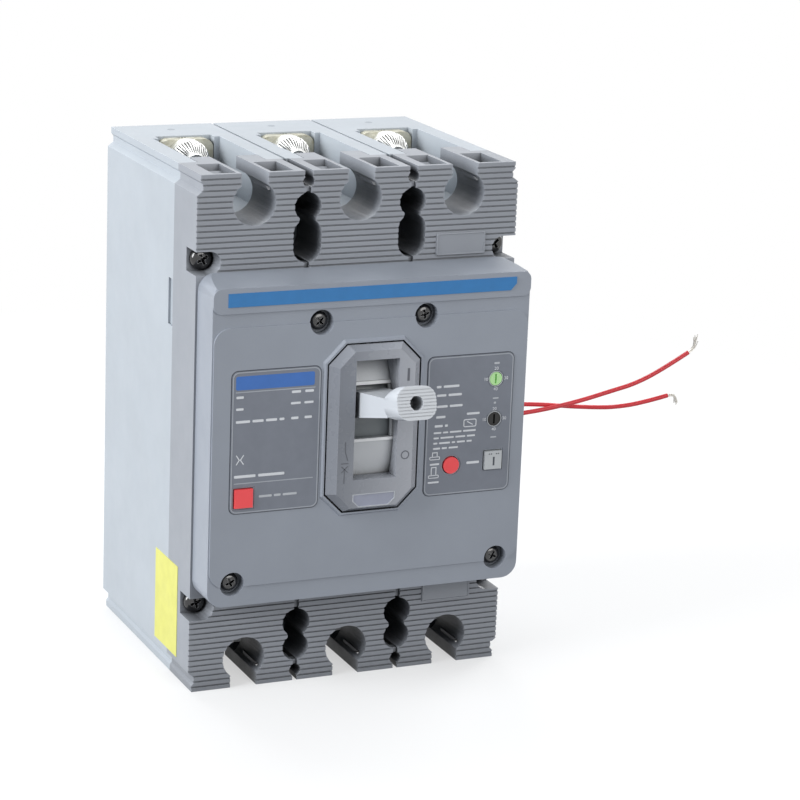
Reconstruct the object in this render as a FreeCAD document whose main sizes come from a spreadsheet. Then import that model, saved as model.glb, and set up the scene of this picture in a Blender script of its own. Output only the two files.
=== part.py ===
"""Three-pole moulded case circuit breaker with an earth-leakage unit.

Frame, in millimetres: the origin is the centre of the flat back of the base, X runs to
the right, +Y runs back into the mounting panel and +Z runs up to the line end.  The
front of the breaker looks along -Y.  The handle stands in its tripped position.
"""
import FreeCAD, Part

import math
import os

import Sketcher
from FreeCAD import Placement, Rotation, Vector

SIZES = {
    # case, from side to side
    "pole_pitch": 35.0,
    "case_margin": 1.0,
    "pole_wall": 4.4,
    # case, from the middle to each end
    "chamber_reach": 50.0,
    "block_length": 16.0,
    "recess_length": 16.5,
    "recess_half": 11.3,
    "waist_start": 6.3,
    "waist_inset": 1.8,
    "end_inset": 1.1,
    "waist_width": 2.0,
    # case, from the back to the front
    "base_depth": 65.5,
    "cover_depth": 20.5,
    "front_depth": 14.0,
    "collar_rise": 0.9,
    "escutcheon_rise": 3.6,
    "floor_thick": 3.5,
    "cover_wall": 3.0,
    "front_wall": 2.8,
    # mounting holes and the holes between the poles
    "mount_span": 126.0,
    "mount_radius": 2.5,
    "well_radius": 4.6,
    "well_floor": 12.0,
    "keyhole_radius": 4.4,
    "keyhole_inset": 11.2,
    "neck_width": 1.6,
    "barrier_width": 2.7,
    "groove_width": 0.9,
    "groove_depth": 1.6,
    "barrier_bulb": 1.9,
    "barrier_inset": 3.4,
    # terminal openings in the cover
    "driver_radius": 7.0,
    "driver_inset": 9.4,
    "mouth_half": 4.4,
    "pocket_depth": 6.0,
    "skirt_length": 8.0,
    # moulded ribs on the terminal faces
    "rib_pitch": 1.77,
    "rib_groove": 0.55,
    "rib_depth": 0.5,
    "name_plate_drop": 21.5,
    "name_plate_high": 7.5,
    "name_plate_low": 6.5,
    "name_plate_left": 9.2,
    "name_plate_wide": 17.2,
    # corner screws of the main cover
    "notch_radius": 3.7,
    "notch_depth": 8.8,
    "corner_screw_inset": 4.3,
    "corner_screw_rise": 5.2,
    "corner_head": 3.5,
    "corner_shank": 1.9,
    # front cover
    "front_margin": 0.7,
    "front_slope": 1.9,
    "front_round": 5.2,
    "step_height": 0.6,
    "band_width": 7.8,
    "strip_width": 4.4,
    "foot_strip": 6.4,
    "cover_screw_head": 2.9,
    "cover_screw_shank": 1.7,
    "cover_screw_pocket": 3.9,
    "cover_screw_sink": 3.6,
    "boss_radius": 4.5,
    "upper_screw_drop": 11.8,
    "lower_screw_inset": 8.7,
    "lower_screw_rise": 7.0,
    # escutcheon around the handle
    "octagon_half": 15.2,
    "octagon_top": 30.8,
    "octagon_bottom": 22.4,
    "octagon_corner": 6.0,
    "octagon_gap": 0.5,
    "collar_width": 0.55,
    "octagon_bevel": 2.6,
    "window_half": 7.2,
    "window_top": 26.3,
    "window_bottom": 11.8,
    "plate_half": 7.0,
    # terminals
    "bar_depth": 45.0,
    "bar_thick": 3.5,
    "bar_half": 6.0,
    "pad_half": 9.2,
    "pad_round": 3.0,
    "stud_inset": 7.0,
    "stud_radius": 4.0,
    "stud_head": 6.5,
    "stud_head_front": 5.4,
    "stud_head_length": 7.0,
    "washer_radius": 6.8,
    "washer_thick": 2.0,
    "socket_across": 6.0,
    "nut_across": 13.0,
    "nut_thick": 6.5,
    # contacts and arc chutes
    "contact_inner": 26.0,
    "tip_length": 7.0,
    "tip_half": 3.5,
    "tip_thick": 2.0,
    "arm_half": 4.0,
    "arm_thick": 3.0,
    "arm_top": 34.0,
    "crossbar_depth": 43.5,
    "crossbar_z": 4.0,
    "crossbar_radius": 6.2,
    "crossbar_room": 0.8,
    "opening_angle": 6.65,
    "plate_pitch": 3.6,
    "plate_thick": 1.0,
    # handle and shutter
    "pivot_depth": 5.5,
    "pivot_z": 1.5,
    "handle_angle": 14.4,
    "yoke_reach": 33.5,
    "yoke_half": 12.4,
    "yoke_thick": 1.4,
    "stud_pin": 2.4,
    "arc_radius": 37.5,
    "arc_thick": 2.0,
    "arc_half": 9.0,
    "shutter_radius": 39.4,
    "shutter_thick": 1.2,
    "shutter_foot": 1.2,
    "shutter_head": 15.2,
    "lip_rise": 0.6,
    "lip_width": 1.0,
    "grip_reach": 75.3,
    "grip_thick": 5.0,
    "grip_half": 6.4,
    "stem_round": 0.7,
    "grip_rise": 5.1,
    "grip_round": 3.9,
    "neck_rise": 1.6,
    "stem_rise": 4.25,
    "grip_hole": 2.2,
    "grip_pitch": 1.0,
    "grip_groove": 0.35,
    # mechanism between the side plates
    "frame_inner": 13.0,
    "frame_thick": 1.8,
    "frame_top": 28.0,
    "frame_bottom": 26.0,
    "frame_rise": 10.5,
    "frame_depth": 35.5,
    "link_length": 17.9,
    "link_half": 2.3,
    "link_pin": 1.2,
    # trip unit
    "trip_bar_depth": 7.5,
    "trip_bar_inset": 23.0,
    "trip_bar_radius": 2.5,
    "bimetal_thick": 1.2,
    "magnet_half": 7.5,
    "magnet_thick": 1.2,
    # buttons and dials
    "trip_button_x": 42.05,
    "trip_button_z": 15.35,
    "button_half": 2.95,
    "button_rise": 1.0,
    "trip_travel": 2.5,
    "test_button_x": 42.0,
    "test_button_z": 10.05,
    "indicator_x": 27.6,
    "indicator_z": 10.7,
    "indicator_radius": 2.7,
    "dial_x": 42.0,
    "upper_dial_z": 16.4,
    "lower_dial_z": 3.3,
    "dial_radius": 2.15,
    "rod_radius": 1.0,
    "board_stand": 3.4,
    "board_thick": 1.6,
    "board_half": 30.0,
    "board_start": 17.5,
    "board_margin": 4.3,
    "board_post_radius": 2.0,
    "board_post_inset": 3.5,
    # labels
    "label_thick": 0.3,
    "label_round": 2.0,
    "label_start": 17.5,
    "label_top": 24.7,
    "label_bottom": 20.2,
    "sticker_thick": 0.15,
    "sticker_high": 30.1,
    "sticker_wide": 20.9,
    # leads
    "wire_radius": 0.75,
    "lead_depth": 6.0,
    "lead_top": 2.5,
    "lead_room": 7.0,
    "grommet_rise": 0.8,
    "upper_bore_depth": 2.1,
    "upper_bore_drop": 5.1,
    "lower_bore_depth": 4.3,
    "lower_bore_drop": 1.9,
    # clearances
    "slide_gap": 0.25,
    "pin_gap": 0.08,
    "swing_gap": 0.3,
}

OVER = 1.0  # how far a cutting tool runs past the face that it opens
TINY = 1e-4

doc = FreeCAD.newDocument("molded_case_breaker")
sheet = doc.addObject("Spreadsheet::Sheet", "dims")
for row, (alias, amount) in enumerate(SIZES.items(), start=1):
    sheet.set(f"A{row}", alias)
    sheet.set(f"B{row}", str(amount))
    sheet.setAlias(f"B{row}", alias)
doc.recompute()

nodes = []


# ---------------------------------------------------------------- sizes as expressions


class Size:
    """A length that knows both its value and the spreadsheet expression behind it."""

    def __init__(self, value, text):
        self.value = float(value)
        self.text = text

    def __add__(self, other):
        other = as_size(other)
        return Size(self.value + other.value, f"({self.text} + {other.text})")

    def __sub__(self, other):
        other = as_size(other)
        return Size(self.value - other.value, f"({self.text} - {other.text})")

    def __mul__(self, other):
        other = as_size(other)
        return Size(self.value * other.value, f"({self.text} * {other.text})")

    def __truediv__(self, other):
        other = as_size(other)
        return Size(self.value / other.value, f"({self.text} / {other.text})")

    def __neg__(self):
        return Size(-self.value, f"(-1 * {self.text})")

    def __radd__(self, other):
        return as_size(other) + self

    def __rsub__(self, other):
        return as_size(other) - self

    def __rmul__(self, other):
        return as_size(other) * self

    def __float__(self):
        return self.value


def as_size(amount):
    if isinstance(amount, Size):
        return amount
    return Size(amount, f"({float(amount):.9g})")


class Dims:
    """The spreadsheet's cells by name."""

    def __getattr__(self, alias):
        return Size(sheet.get(alias), f"dims.{alias}")


dim = Dims()


# ------------------------------------------------------------------- building helpers

TURN = {"x": Rotation(Vector(0, 1, 0), 90), "y": Rotation(Vector(1, 0, 0), -90), "z": Rotation()}
PLANE = {"x": "YZ_Plane", "y": "XZ_Plane", "z": "XY_Plane"}
PLACE = {"x": "yzx", "y": "xzy", "z": "xyz"}


def bind(piece, path, amount):
    piece.setExpression(path, as_size(amount).text)


def around(centre, half):
    return (centre - half, centre + half)


def sided(side, inner, outer):
    """The X span from inner to outer on the left (-1) or right (+1) side."""
    if side > 0:
        return (as_size(inner), as_size(outer))
    return (-as_size(outer), -as_size(inner))


def box(name, x, y, z):
    piece = doc.addObject("Part::Box", name)
    for length, base, (low, high) in zip(("Length", "Width", "Height"), "xyz", (x, y, z)):
        bind(piece, length, high - low)
        bind(piece, f"Placement.Base.{base}", low)
    return piece


def at_axis(piece, axis, centre, start):
    """Turn a piece made along Z onto an axis, through centre, from start onwards."""
    piece.Placement = Placement(Vector(), TURN[axis])
    first, second, along = PLACE[axis]
    bind(piece, f"Placement.Base.{first}", centre[0])
    bind(piece, f"Placement.Base.{second}", centre[1])
    bind(piece, f"Placement.Base.{along}", start)
    return piece


def rod(name, axis, centre, radius, span):
    piece = doc.addObject("Part::Cylinder", name)
    bind(piece, "Radius", radius)
    bind(piece, "Height", span[1] - span[0])
    return at_axis(piece, axis, centre, span[0])


def cone(name, axis, centre, radii, span):
    piece = doc.addObject("Part::Cone", name)
    bind(piece, "Radius1", radii[0])
    bind(piece, "Radius2", radii[1])
    bind(piece, "Height", span[1] - span[0])
    return at_axis(piece, axis, centre, span[0])


def outline_sketch(body, name, axis, points, level):
    """A closed polygon whose corners are bound to their sizes, at a level on an axis."""
    sketch = body.newObject("Sketcher::SketchObject", name)
    plane = [f for f in body.Origin.OriginFeatures if f.Role == PLANE[axis]][0]
    sketch.AttachmentSupport = [(plane, "")]
    sketch.MapMode = "FlatFace"
    corners = [(as_size(u), as_size(v)) for u, v in points]
    spots = [Vector(u.value, v.value, 0) for u, v in corners]
    last = len(spots)
    for i in range(last):
        sketch.addGeometry(Part.LineSegment(spots[i], spots[(i + 1) % last]), False)
    for i in range(last):
        sketch.addConstraint(Sketcher.Constraint("Coincident", i, 2, (i + 1) % last, 1))
    for i, (u, v) in enumerate(corners):
        across = sketch.addConstraint(Sketcher.Constraint("DistanceX", -1, 1, i, 1, u.value))
        bind(sketch, f"Constraints[{across}]", u)
        along = sketch.addConstraint(Sketcher.Constraint("DistanceY", -1, 1, i, 1, v.value))
        bind(sketch, f"Constraints[{along}]", v)
    offset = -level if axis == "y" else level
    bind(sketch, ".AttachmentOffset.Base.z", offset)
    return sketch


def prism(name, axis, points, span, rounded=None):
    """A polygon carried along an axis; rounded = (radius, corner numbers) fillets it."""
    body = doc.addObject("PartDesign::Body", name)
    level = as_size(span[1] if axis == "y" else span[0])
    sketch = outline_sketch(body, f"{name}_outline", axis, points, level)
    pad = body.newObject("PartDesign::Pad", f"{name}_pad")
    pad.Profile = sketch
    bind(pad, "Length", as_size(span[1]) - span[0])
    if rounded:
        radius, corners = rounded
        doc.recompute()
        edges = corner_edges(pad.Shape, axis, [points[i] for i in corners])
        fillet = body.newObject("PartDesign::Fillet", f"{name}_fillet")
        fillet.Base = (pad, edges)
        bind(fillet, "Radius", radius)
    return body


def corner_edges(shape, axis, corners):
    """The edges along an axis that stand on the given corners."""
    first, second, along = PLACE[axis]
    found = []
    for number, edge in enumerate(shape.Edges, start=1):
        start, end = edge.Vertexes[0].Point, edge.Vertexes[-1].Point
        if abs(getattr(start, along) - getattr(end, along)) < TINY:
            continue
        here = (getattr(start, first), getattr(start, second))
        for u, v in corners:
            if abs(here[0] - float(u)) < TINY and abs(here[1] - float(v)) < TINY:
                found.append(f"Edge{number}")
    return found


def taper(name, axis, near, near_level, far, far_level):
    """A solid that runs straight from one outline to another."""
    body = doc.addObject("PartDesign::Body", name)
    first = outline_sketch(body, f"{name}_near", axis, near, as_size(near_level))
    second = outline_sketch(body, f"{name}_far", axis, far, as_size(far_level))
    loft = body.newObject("PartDesign::AdditiveLoft", f"{name}_loft")
    loft.Profile = first
    loft.Sections = [second]
    loft.Ruled = True
    return body


def rectangle(u, v):
    return [(u[0], v[0]), (u[1], v[0]), (u[1], v[1]), (u[0], v[1])]


def plate(name, x, y, z, radius):
    """A plate facing -Y with all four corners rounded."""
    return prism(name, "y", rectangle(x, z), y, rounded=(radius, (0, 1, 2, 3)))


def fuse(name, pieces):
    piece = doc.addObject("Part::MultiFuse", name)
    piece.Shapes = pieces
    return piece


def cut(name, base, tools):
    piece = doc.addObject("Part::Cut", name)
    piece.Base = base
    piece.Tool = tools[0] if len(tools) == 1 else fuse(f"{name}_tools", tools)
    return piece


def common(name, first, second):
    piece = doc.addObject("Part::Common", name)
    piece.Base = first
    piece.Tool = second
    return piece


def group(name, pieces):
    piece = doc.addObject("Part::Compound", name)
    piece.Links = pieces
    return piece


def swing(piece, angle, y, z):
    """Turn a finished piece about an axis along X through (y, z)."""
    piece.Placement = Placement(Vector(), Rotation(Vector(1, 0, 0), angle), Vector(0, y, z))
    return piece


def node(name, piece):
    piece.Label = name
    nodes.append(piece)
    return piece


# -------------------------------------------------------------------- derived places

half_width = dim.pole_pitch * 1.5 + dim.case_margin
half_height = dim.chamber_reach + dim.block_length + dim.recess_length
chamber_half = (dim.pole_pitch - dim.pole_wall) / 2
inner_half = dim.pole_pitch * 1.5 - dim.pole_wall / 2
recess_start = dim.chamber_reach + dim.block_length
parting = -dim.base_depth
cover_face = parting - dim.cover_depth
front_face = cover_face - dim.front_depth
panel_face = front_face
collar_face = front_face - dim.collar_rise
strip_face = front_face + dim.step_height
front_inner = front_face + dim.front_wall
cover_inner = cover_face + dim.cover_wall
POLES = {"left": -dim.pole_pitch, "centre": as_size(0), "right": dim.pole_pitch}
BETWEEN = (-dim.pole_pitch / 2, dim.pole_pitch / 2)
ENDS = {"line": 1, "load": -1}
back_face = parting + dim.bar_depth
bar_front = back_face - dim.bar_thick
ledge_z = dim.contact_inner - 2
load_flange = (-(dim.chamber_reach - 14), -(dim.chamber_reach - 20))
leak_room = (-(dim.chamber_reach - 0.1), -(dim.chamber_reach - 14))
hinge_y = parting + dim.pivot_depth
hinge_z = dim.pivot_z
bar_axis = (parting + dim.crossbar_depth, -dim.crossbar_z)
trip_axis = (parting + dim.trip_bar_depth, -(dim.chamber_reach - dim.trip_bar_inset))
front_half = half_width - dim.front_margin
front_top = dim.chamber_reach + 0.4
front_bottom = -(dim.chamber_reach + 0.3)
panel_top = front_top - dim.band_width - dim.strip_width
panel_bottom = front_bottom + dim.foot_strip
cavity_half = front_half - 2.6
UPPER_SCREWS = [(x, dim.chamber_reach - dim.upper_screw_drop) for x in BETWEEN]
lower_screw_z = -(dim.chamber_reach - dim.lower_screw_rise)
LOWER_SCREWS = [((half_width - dim.lower_screw_inset) * side, lower_screw_z) for side in (-1, 1)]
FRONT_SCREWS = UPPER_SCREWS + LOWER_SCREWS
corner_x = half_width - dim.corner_screw_inset
corner_z = dim.chamber_reach + dim.corner_screw_rise
CORNERS = [(corner_x * side, corner_z * end, side) for end in (1, -1) for side in (-1, 1)]
trip_spot = (-dim.trip_button_x, -dim.trip_button_z)
test_spot = (dim.test_button_x, -dim.test_button_z)
indicator_spot = (dim.indicator_x, -dim.indicator_z)
DIALS = {"sensitivity_dial": dim.upper_dial_z, "delay_dial": dim.lower_dial_z}
board_back = cover_face - dim.board_stand
board_face = board_back - dim.board_thick
board_x = (dim.board_start, half_width - dim.board_margin)
post_z = dim.board_half - dim.board_post_inset
BOARD_POSTS = [(x, z) for z in (post_z, -post_z)
               for x in (board_x[0] + dim.board_post_inset, board_x[1] - dim.board_post_inset)]
lead_span = (-(dim.lead_top + dim.lead_room), -dim.lead_top)


def end_span(end, near, far):
    """The Z span from near to far of the middle, at the line (+1) or load (-1) end."""
    if end > 0:
        return (as_size(near), as_size(far))
    return (-as_size(far), -as_size(near))


def case_outline():
    """The side-to-side outline, with the waist grooves near both ends."""
    edge = [
        (half_width, half_height - dim.waist_start),
        (half_width - dim.waist_inset, half_height - dim.waist_start + 1.4),
        (half_width - dim.waist_inset, half_height - dim.waist_start + 1.4 + dim.waist_width),
        (half_width - dim.end_inset, half_height - dim.waist_start + 2.2 + dim.waist_width),
        (half_width - dim.end_inset, half_height),
    ]
    right = [(x, -z) for x, z in reversed(edge)] + edge
    left = [(-x, z) for x, z in reversed(right)]
    return right + left


def pole_holes(name, y, mouths):
    """Barrier slots, keyholes and mounting wells between the poles, over a Y span."""
    tools = []
    keyhole_z = half_height - dim.keyhole_inset
    bulb_z = half_height - dim.barrier_inset
    mount_z = dim.mount_span / 2
    for x in BETWEEN:
        for end in ENDS.values():
            open_end = end_span(end, bulb_z, half_height + OVER)
            tools.append(box(f"{name}_mouth", around(x, mouths[end] / 2), y, open_end))
            tools.append(rod(f"{name}_bulb", "y", (x, bulb_z * end), dim.barrier_bulb, y))
            neck = end_span(end, keyhole_z, bulb_z)
            tools.append(box(f"{name}_neck", around(x, dim.neck_width / 2), y, neck))
            tools.append(rod(f"{name}_keyhole", "y", (x, keyhole_z * end), dim.keyhole_radius, y))
            tools.append(rod(f"{name}_well", "y", (x, mount_z * end), dim.well_radius, y))
            waist = end_span(end, mount_z, keyhole_z)
            tools.append(box(f"{name}_waist", around(x, dim.well_radius * 0.6), y, waist))
        lower = mount_z - dim.well_radius
        tools.append(rod(f"{name}_slot", "y", (x, lower), dim.well_radius, y))
        tools.append(box(f"{name}_slot_side", around(x, dim.well_radius), y, (lower, mount_z)))
    return tools


# --------------------------------------------------------------------- moulded pieces


def make_base():
    """The base: pole chambers, terminal recesses, nut pockets and mounting wells."""
    block = prism("base_block", "y", case_outline(), (parting, as_size(0)))
    open_front = parting - OVER
    tools = []
    for pole in POLES.values():
        chamber = around(pole, chamber_half)
        tools.append(box("pole_room", chamber, (open_front, -dim.floor_thick), (-dim.chamber_reach, ledge_z)))
        tools.append(box("chute_room", chamber, (open_front, back_face), (ledge_z - OVER, dim.chamber_reach)))
        for end in ENDS.values():
            recess = end_span(end, recess_start, half_height + OVER)
            wide_room = around(pole, dim.recess_half)
            tools.append(box("terminal_recess", wide_room, (open_front, bar_front), recess))
            pad_room = around(pole, dim.pad_half + dim.slide_gap)
            tools.append(box("pad_room", pad_room, (bar_front - OVER, back_face), recess))
            slot = end_span(end, dim.chamber_reach - OVER, recess_start + OVER)
            tools.append(box("bar_slot", around(pole, dim.bar_half), (bar_front, back_face), slot))
            stud_z = (half_height - dim.stud_inset) * end
            nut = (back_face - OVER, back_face + dim.nut_thick)
            half_nut = dim.nut_across / 2
            tools.append(box("nut_pocket", around(pole, half_nut), nut, around(stud_z, half_nut)))
            deep = (back_face, -dim.floor_thick - 1)
            tools.append(rod("stud_room", "y", (pole, stud_z), dim.stud_radius + 0.5, deep))
    tools.append(box("leak_room", around(as_size(0), inner_half), (open_front, -dim.floor_thick), leak_room))
    bar_room = dim.crossbar_radius + dim.crossbar_room
    swing_room = dim.trip_bar_radius + 1
    between = [around(x, dim.pole_wall / 2 + OVER) for x in BETWEEN]
    for wall in between:
        tools.append(rod("bar_bearing", "x", bar_axis, bar_room, wall))
        tools.append(box("bar_way", wall, (open_front, bar_axis[0]), around(bar_axis[1], bar_room)))
        tools.append(rod("trip_bearing", "x", trip_axis, swing_room, wall))
        tools.append(box("trip_way", wall, (open_front, trip_axis[0]), around(trip_axis[1], swing_room)))
    groove = {1: dim.groove_width, -1: dim.groove_width}
    tools += pole_holes("base_hole", (open_front, -dim.well_floor), groove)
    for x in BETWEEN:
        for end in ENDS.values():
            behind = (-dim.well_floor - OVER, as_size(OVER))
            outside = end_span(end, half_height - dim.groove_depth, half_height + OVER)
            tools.append(box("end_groove", around(x, dim.groove_width / 2), behind, outside))
            spot = (x, dim.mount_span / 2 * end)
            tools.append(rod("mount_hole", "y", spot, dim.mount_radius, behind))
    for x, z, _ in CORNERS:
        tools.append(rod("corner_bore", "y", (x, z), dim.corner_shank, (open_front, parting + 14)))
    tab_wall = sided(-1, half_width - 0.8, half_width + OVER)
    tab = (dim.chamber_reach - 18.8, dim.chamber_reach - 4)
    tools.append(box("side_tab", tab_wall, (open_front, parting + 4), tab))
    lead_wall = sided(1, inner_half - OVER, half_width + OVER)
    tools.append(box("lead_window", lead_wall, (open_front, parting + dim.lead_depth), lead_span))
    hollow = cut("base_hollow", block, tools)
    posts = []
    foot = (back_face, -dim.floor_thick)
    under_flange = (load_flange[0], load_flange[1] + 1)
    for pole in POLES.values():
        posts.append(box("flange_post", around(pole, dim.bar_half), foot, under_flange))
    return node("base_housing", fuse("base_solid", [hollow] + posts))


def rib_grooves(end):
    """Horizontal grooves over one terminal face, left out on its plain name plate."""
    tools = []
    start = dim.pole_pitch - dim.name_plate_left
    plate_x = (start, start + dim.name_plate_wide)
    tall = dim.name_plate_high if end > 0 else dim.name_plate_low
    top = half_height - dim.name_plate_drop
    plate_z = [size.value for size in end_span(end, top - tall, top)]
    depth = (cover_face - OVER, cover_face + dim.rib_depth)
    room = dim.block_length + dim.recess_length - 2.3
    count = int(room.value / dim.rib_pitch.value)
    for number in range(count):
        low = half_height - dim.rib_pitch * (number + 1)
        z = end_span(end, low, low + dim.rib_groove)
        whole = (-half_width - OVER, half_width + OVER)
        beside = z[1].value > plate_z[0] and z[0].value < plate_z[1]
        spans = [(whole[0], plate_x[0]), (plate_x[1], whole[1])] if beside else [whole]
        tools += [box("rib_groove", span, depth, z) for span in spans]
    return tools


def make_main_cover():
    """The main cover: ribbed terminal faces, screwdriver openings and corner notches."""
    block = prism("cover_block", "y", case_outline(), (cover_face, parting))
    through = (cover_face - OVER, parting + OVER)
    skirts = []
    tools = []
    room_half = dim.chamber_reach - 3
    inside = (cover_inner, parting + OVER)
    tools.append(box("cover_room", around(as_size(0), inner_half), inside, around(as_size(0), room_half)))
    handle_way = around(as_size(0), dim.octagon_half + dim.swing_gap)
    tools.append(box("handle_way", handle_way, through, (-32.0, as_size(38.0))))
    for pole in POLES.values():
        for end in ENDS.values():
            driver_z = half_height - dim.driver_inset
            mouth = end_span(end, driver_z, half_height + OVER)
            tools.append(rod("driver_hole", "y", (pole, driver_z * end), dim.driver_radius, through))
            tools.append(box("driver_mouth", around(pole, dim.mouth_half), through, mouth))
            for side in (-1, 1):
                x = (pole + dim.mouth_half + 1.2, pole + dim.recess_half + 1.8)
                x = x if side > 0 else (pole * 2 - x[1], pole * 2 - x[0])
                lip, floor = half_height + OVER, half_height - dim.pocket_depth
                ring = [(cover_face + 1.2, lip), (parting - 3.4, lip), (parting - 5.2, floor),
                        (cover_face + 3.2, floor)]
                tools.append(prism("arm_pocket", "x", [(y, z * end) for y, z in ring], x))
                skirt = (pole + dim.mouth_half, pole + dim.recess_half - dim.slide_gap)
                skirt = skirt if side > 0 else (pole * 2 - skirt[1], pole * 2 - skirt[0])
                rise = end_span(end, half_height - 4.0, half_height)
                skirts.append(box("arm_skirt", skirt, (parting - OVER, parting + dim.skirt_length), rise))
    mouths = {1: dim.barrier_width, -1: dim.barrier_width - 1.2}
    tools += pole_holes("cover_hole", through, mouths)
    reach = front_top.value - OVER
    for x in BETWEEN:
        slit = around(x, dim.neck_width / 2)
        for end in ENDS.values():
            tools.append(box("lid_slit", slit, through, end_span(end, reach, dim.mount_span / 2)))
    for end in ENDS.values():
        tools += rib_grooves(end)
    notch = (cover_face - OVER, cover_face + dim.notch_depth)
    for x, z, side in CORNERS:
        edge = sided(side, corner_x, half_width + OVER)
        tools.append(rod("corner_notch", "y", (x, z), dim.notch_radius, notch))
        tools.append(box("corner_way", edge, notch, around(z, dim.notch_radius)))
        tools.append(rod("corner_hole", "y", (x, z), dim.corner_shank, through))
    wall = (cover_face - OVER, cover_inner + OVER)
    for spot in (trip_spot, indicator_spot):
        tools.append(rod("rod_hole", "y", spot, dim.rod_radius + 0.5, wall))
    shell = cut("cover_shell", block, tools)
    boss = (cover_inner, cover_inner + 10)
    bosses = [rod("screw_boss", "y", spot, dim.boss_radius, boss) for spot in FRONT_SCREWS]
    stand = (board_back, cover_face)
    posts = [rod("board_post", "y", spot, dim.board_post_radius, stand) for spot in BOARD_POSTS]
    grown = fuse("cover_grown", [shell] + bosses + posts + skirts)
    bore = (cover_face - OVER, cover_inner + 9)
    bores = [rod("screw_bore", "y", spot, dim.cover_screw_shank, bore) for spot in FRONT_SCREWS]
    return node("main_cover", cut("cover_solid", grown, bores))


def octagon(grow, lift=0):
    """The escutcheon's outline, grown all round by a distance."""
    half = dim.octagon_half + grow
    top = dim.octagon_top + grow - lift
    bottom = -dim.octagon_bottom - grow + lift
    corner = dim.octagon_corner + as_size(grow) * 0.4
    return [
        (half, bottom + corner), (half, top - corner), (half - corner, top), (-half + corner, top),
        (-half, top - corner), (-half, bottom + corner), (-half + corner, bottom), (half - corner, bottom),
    ]


def make_front_cover():
    """The front cover: a stepped lid with openings for the handle, buttons and dials."""
    foot = front_top + dim.front_slope
    side_view = [(cover_face, front_bottom), (cover_face, foot), (strip_face, front_top),
                 (strip_face, front_bottom)]
    width = (-front_half, front_half)
    depth = (front_face - OVER, cover_face + OVER)
    slab = prism("lid_slab", "x", side_view, width)
    rounding = plate("lid_round", width, depth, (front_bottom, foot), dim.front_round)
    lid = common("lid_rounded", slab, rounding)
    band = plate("lid_band", (width[0], width[1]), (front_face, strip_face),
                 (front_top - dim.band_width, front_top), dim.front_round * 0.5)
    panel = plate("lid_panel", (width[0] + 0.4, width[1] - 0.4), (front_face, strip_face),
                  (panel_bottom, panel_top), dim.front_round)
    bulk = fuse("lid_bulk", [lid, band, panel])
    room = box("lid_room", around(as_size(0), cavity_half), (front_inner, cover_face + OVER),
               (front_bottom + 2.7, front_top - 2.4))
    boss = (front_inner - OVER, cover_face)
    wide = dim.cover_screw_pocket + 1.8
    bosses = fuse("lid_bosses", [rod("lid_boss", "y", spot, wide, boss) for spot in FRONT_SCREWS])
    collar = taper("lid_collar", "y", octagon(dim.octagon_gap + dim.collar_width * 2), front_face,
                   octagon(dim.octagon_gap + dim.collar_width), collar_face)
    hollow = cut("lid_hollow", bulk, [room])
    shell = fuse("lid_shell", [hollow, collar, common("lid_boss_trim", bosses, boss_room(width, foot))])
    wall = (collar_face - OVER, front_inner + OVER)
    tools = []
    pocket = (front_face - OVER, strip_face + dim.cover_screw_sink)
    for spot in FRONT_SCREWS:
        tools.append(rod("lid_pocket", "y", spot, dim.cover_screw_pocket, pocket))
        tools.append(rod("lid_bore", "y", spot, dim.cover_screw_shank, (front_face, cover_face + OVER)))
    tools.append(prism("lid_window", "y", octagon(dim.octagon_gap), wall))
    slack = dim.slide_gap
    for spot in (trip_spot, test_spot):
        half = dim.button_half + slack
        tools.append(box("lid_button_hole", around(spot[0], half), wall, around(spot[1], half)))
    tools.append(rod("lid_indicator_hole", "y", indicator_spot, dim.indicator_radius + slack, wall))
    for height in DIALS.values():
        tools.append(rod("lid_dial_hole", "y", (dim.dial_x, height), dim.dial_radius + slack, wall))
    return node("front_cover", cut("lid_solid", shell, tools))


def boss_room(width, foot):
    """The room that the screw bosses may fill, under the sloping top of the lid."""
    side_view = [(cover_face, front_bottom + 1), (cover_face, foot - 2), (front_inner - OVER, front_top - 1),
                 (front_inner - OVER, front_bottom + 1)]
    return prism("lid_boss_room", "x", side_view, (width[0] + 1, width[1] - 1))


def make_escutcheon():
    """The bevelled octagon around the handle, with its window and rear flange."""
    top_face = front_face - dim.escutcheon_rise
    bevel = octagon(-dim.octagon_bevel, -dim.octagon_bevel * 0.4)
    rise = taper("rim_bevel", "y", octagon(0), collar_face, bevel, top_face)
    body = prism("rim_body", "y", octagon(0), (collar_face, front_inner + 6))
    flange = prism("rim_flange", "y", octagon(3.8), (front_inner, front_inner + 1.6))
    whole = fuse("rim_whole", [rise, body, flange])
    hinge = (hinge_y, hinge_z)
    middle = as_size(0)
    room = rod("rim_room", "x", hinge, dim.shutter_radius + 1.1, around(middle, dim.arc_half + 0.6))
    yoke_room = rod("rim_yoke_room", "x", hinge, dim.yoke_reach + 1.3, around(middle, dim.yoke_half + 0.5))
    window = box("rim_window", around(as_size(0), dim.window_half), (top_face - OVER, front_inner + 8),
                 (-dim.window_bottom, dim.window_top))
    dip = (top_face - OVER, top_face + 0.35)
    half, low = dim.plate_half, dim.window_bottom + 8.7
    shape = [(half, low - 4.0), (half, low - 1.9), (half - 2.0, low), (2.0 - half, low), (-half, low - 1.9),
             (-half, low - 4.0)]
    name_dip = prism("rim_dip", "y", [(x, -z) for x, z in shape], dip)
    return node("escutcheon", cut("rim_solid", whole, [room, yoke_room, window, name_dip]))


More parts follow.
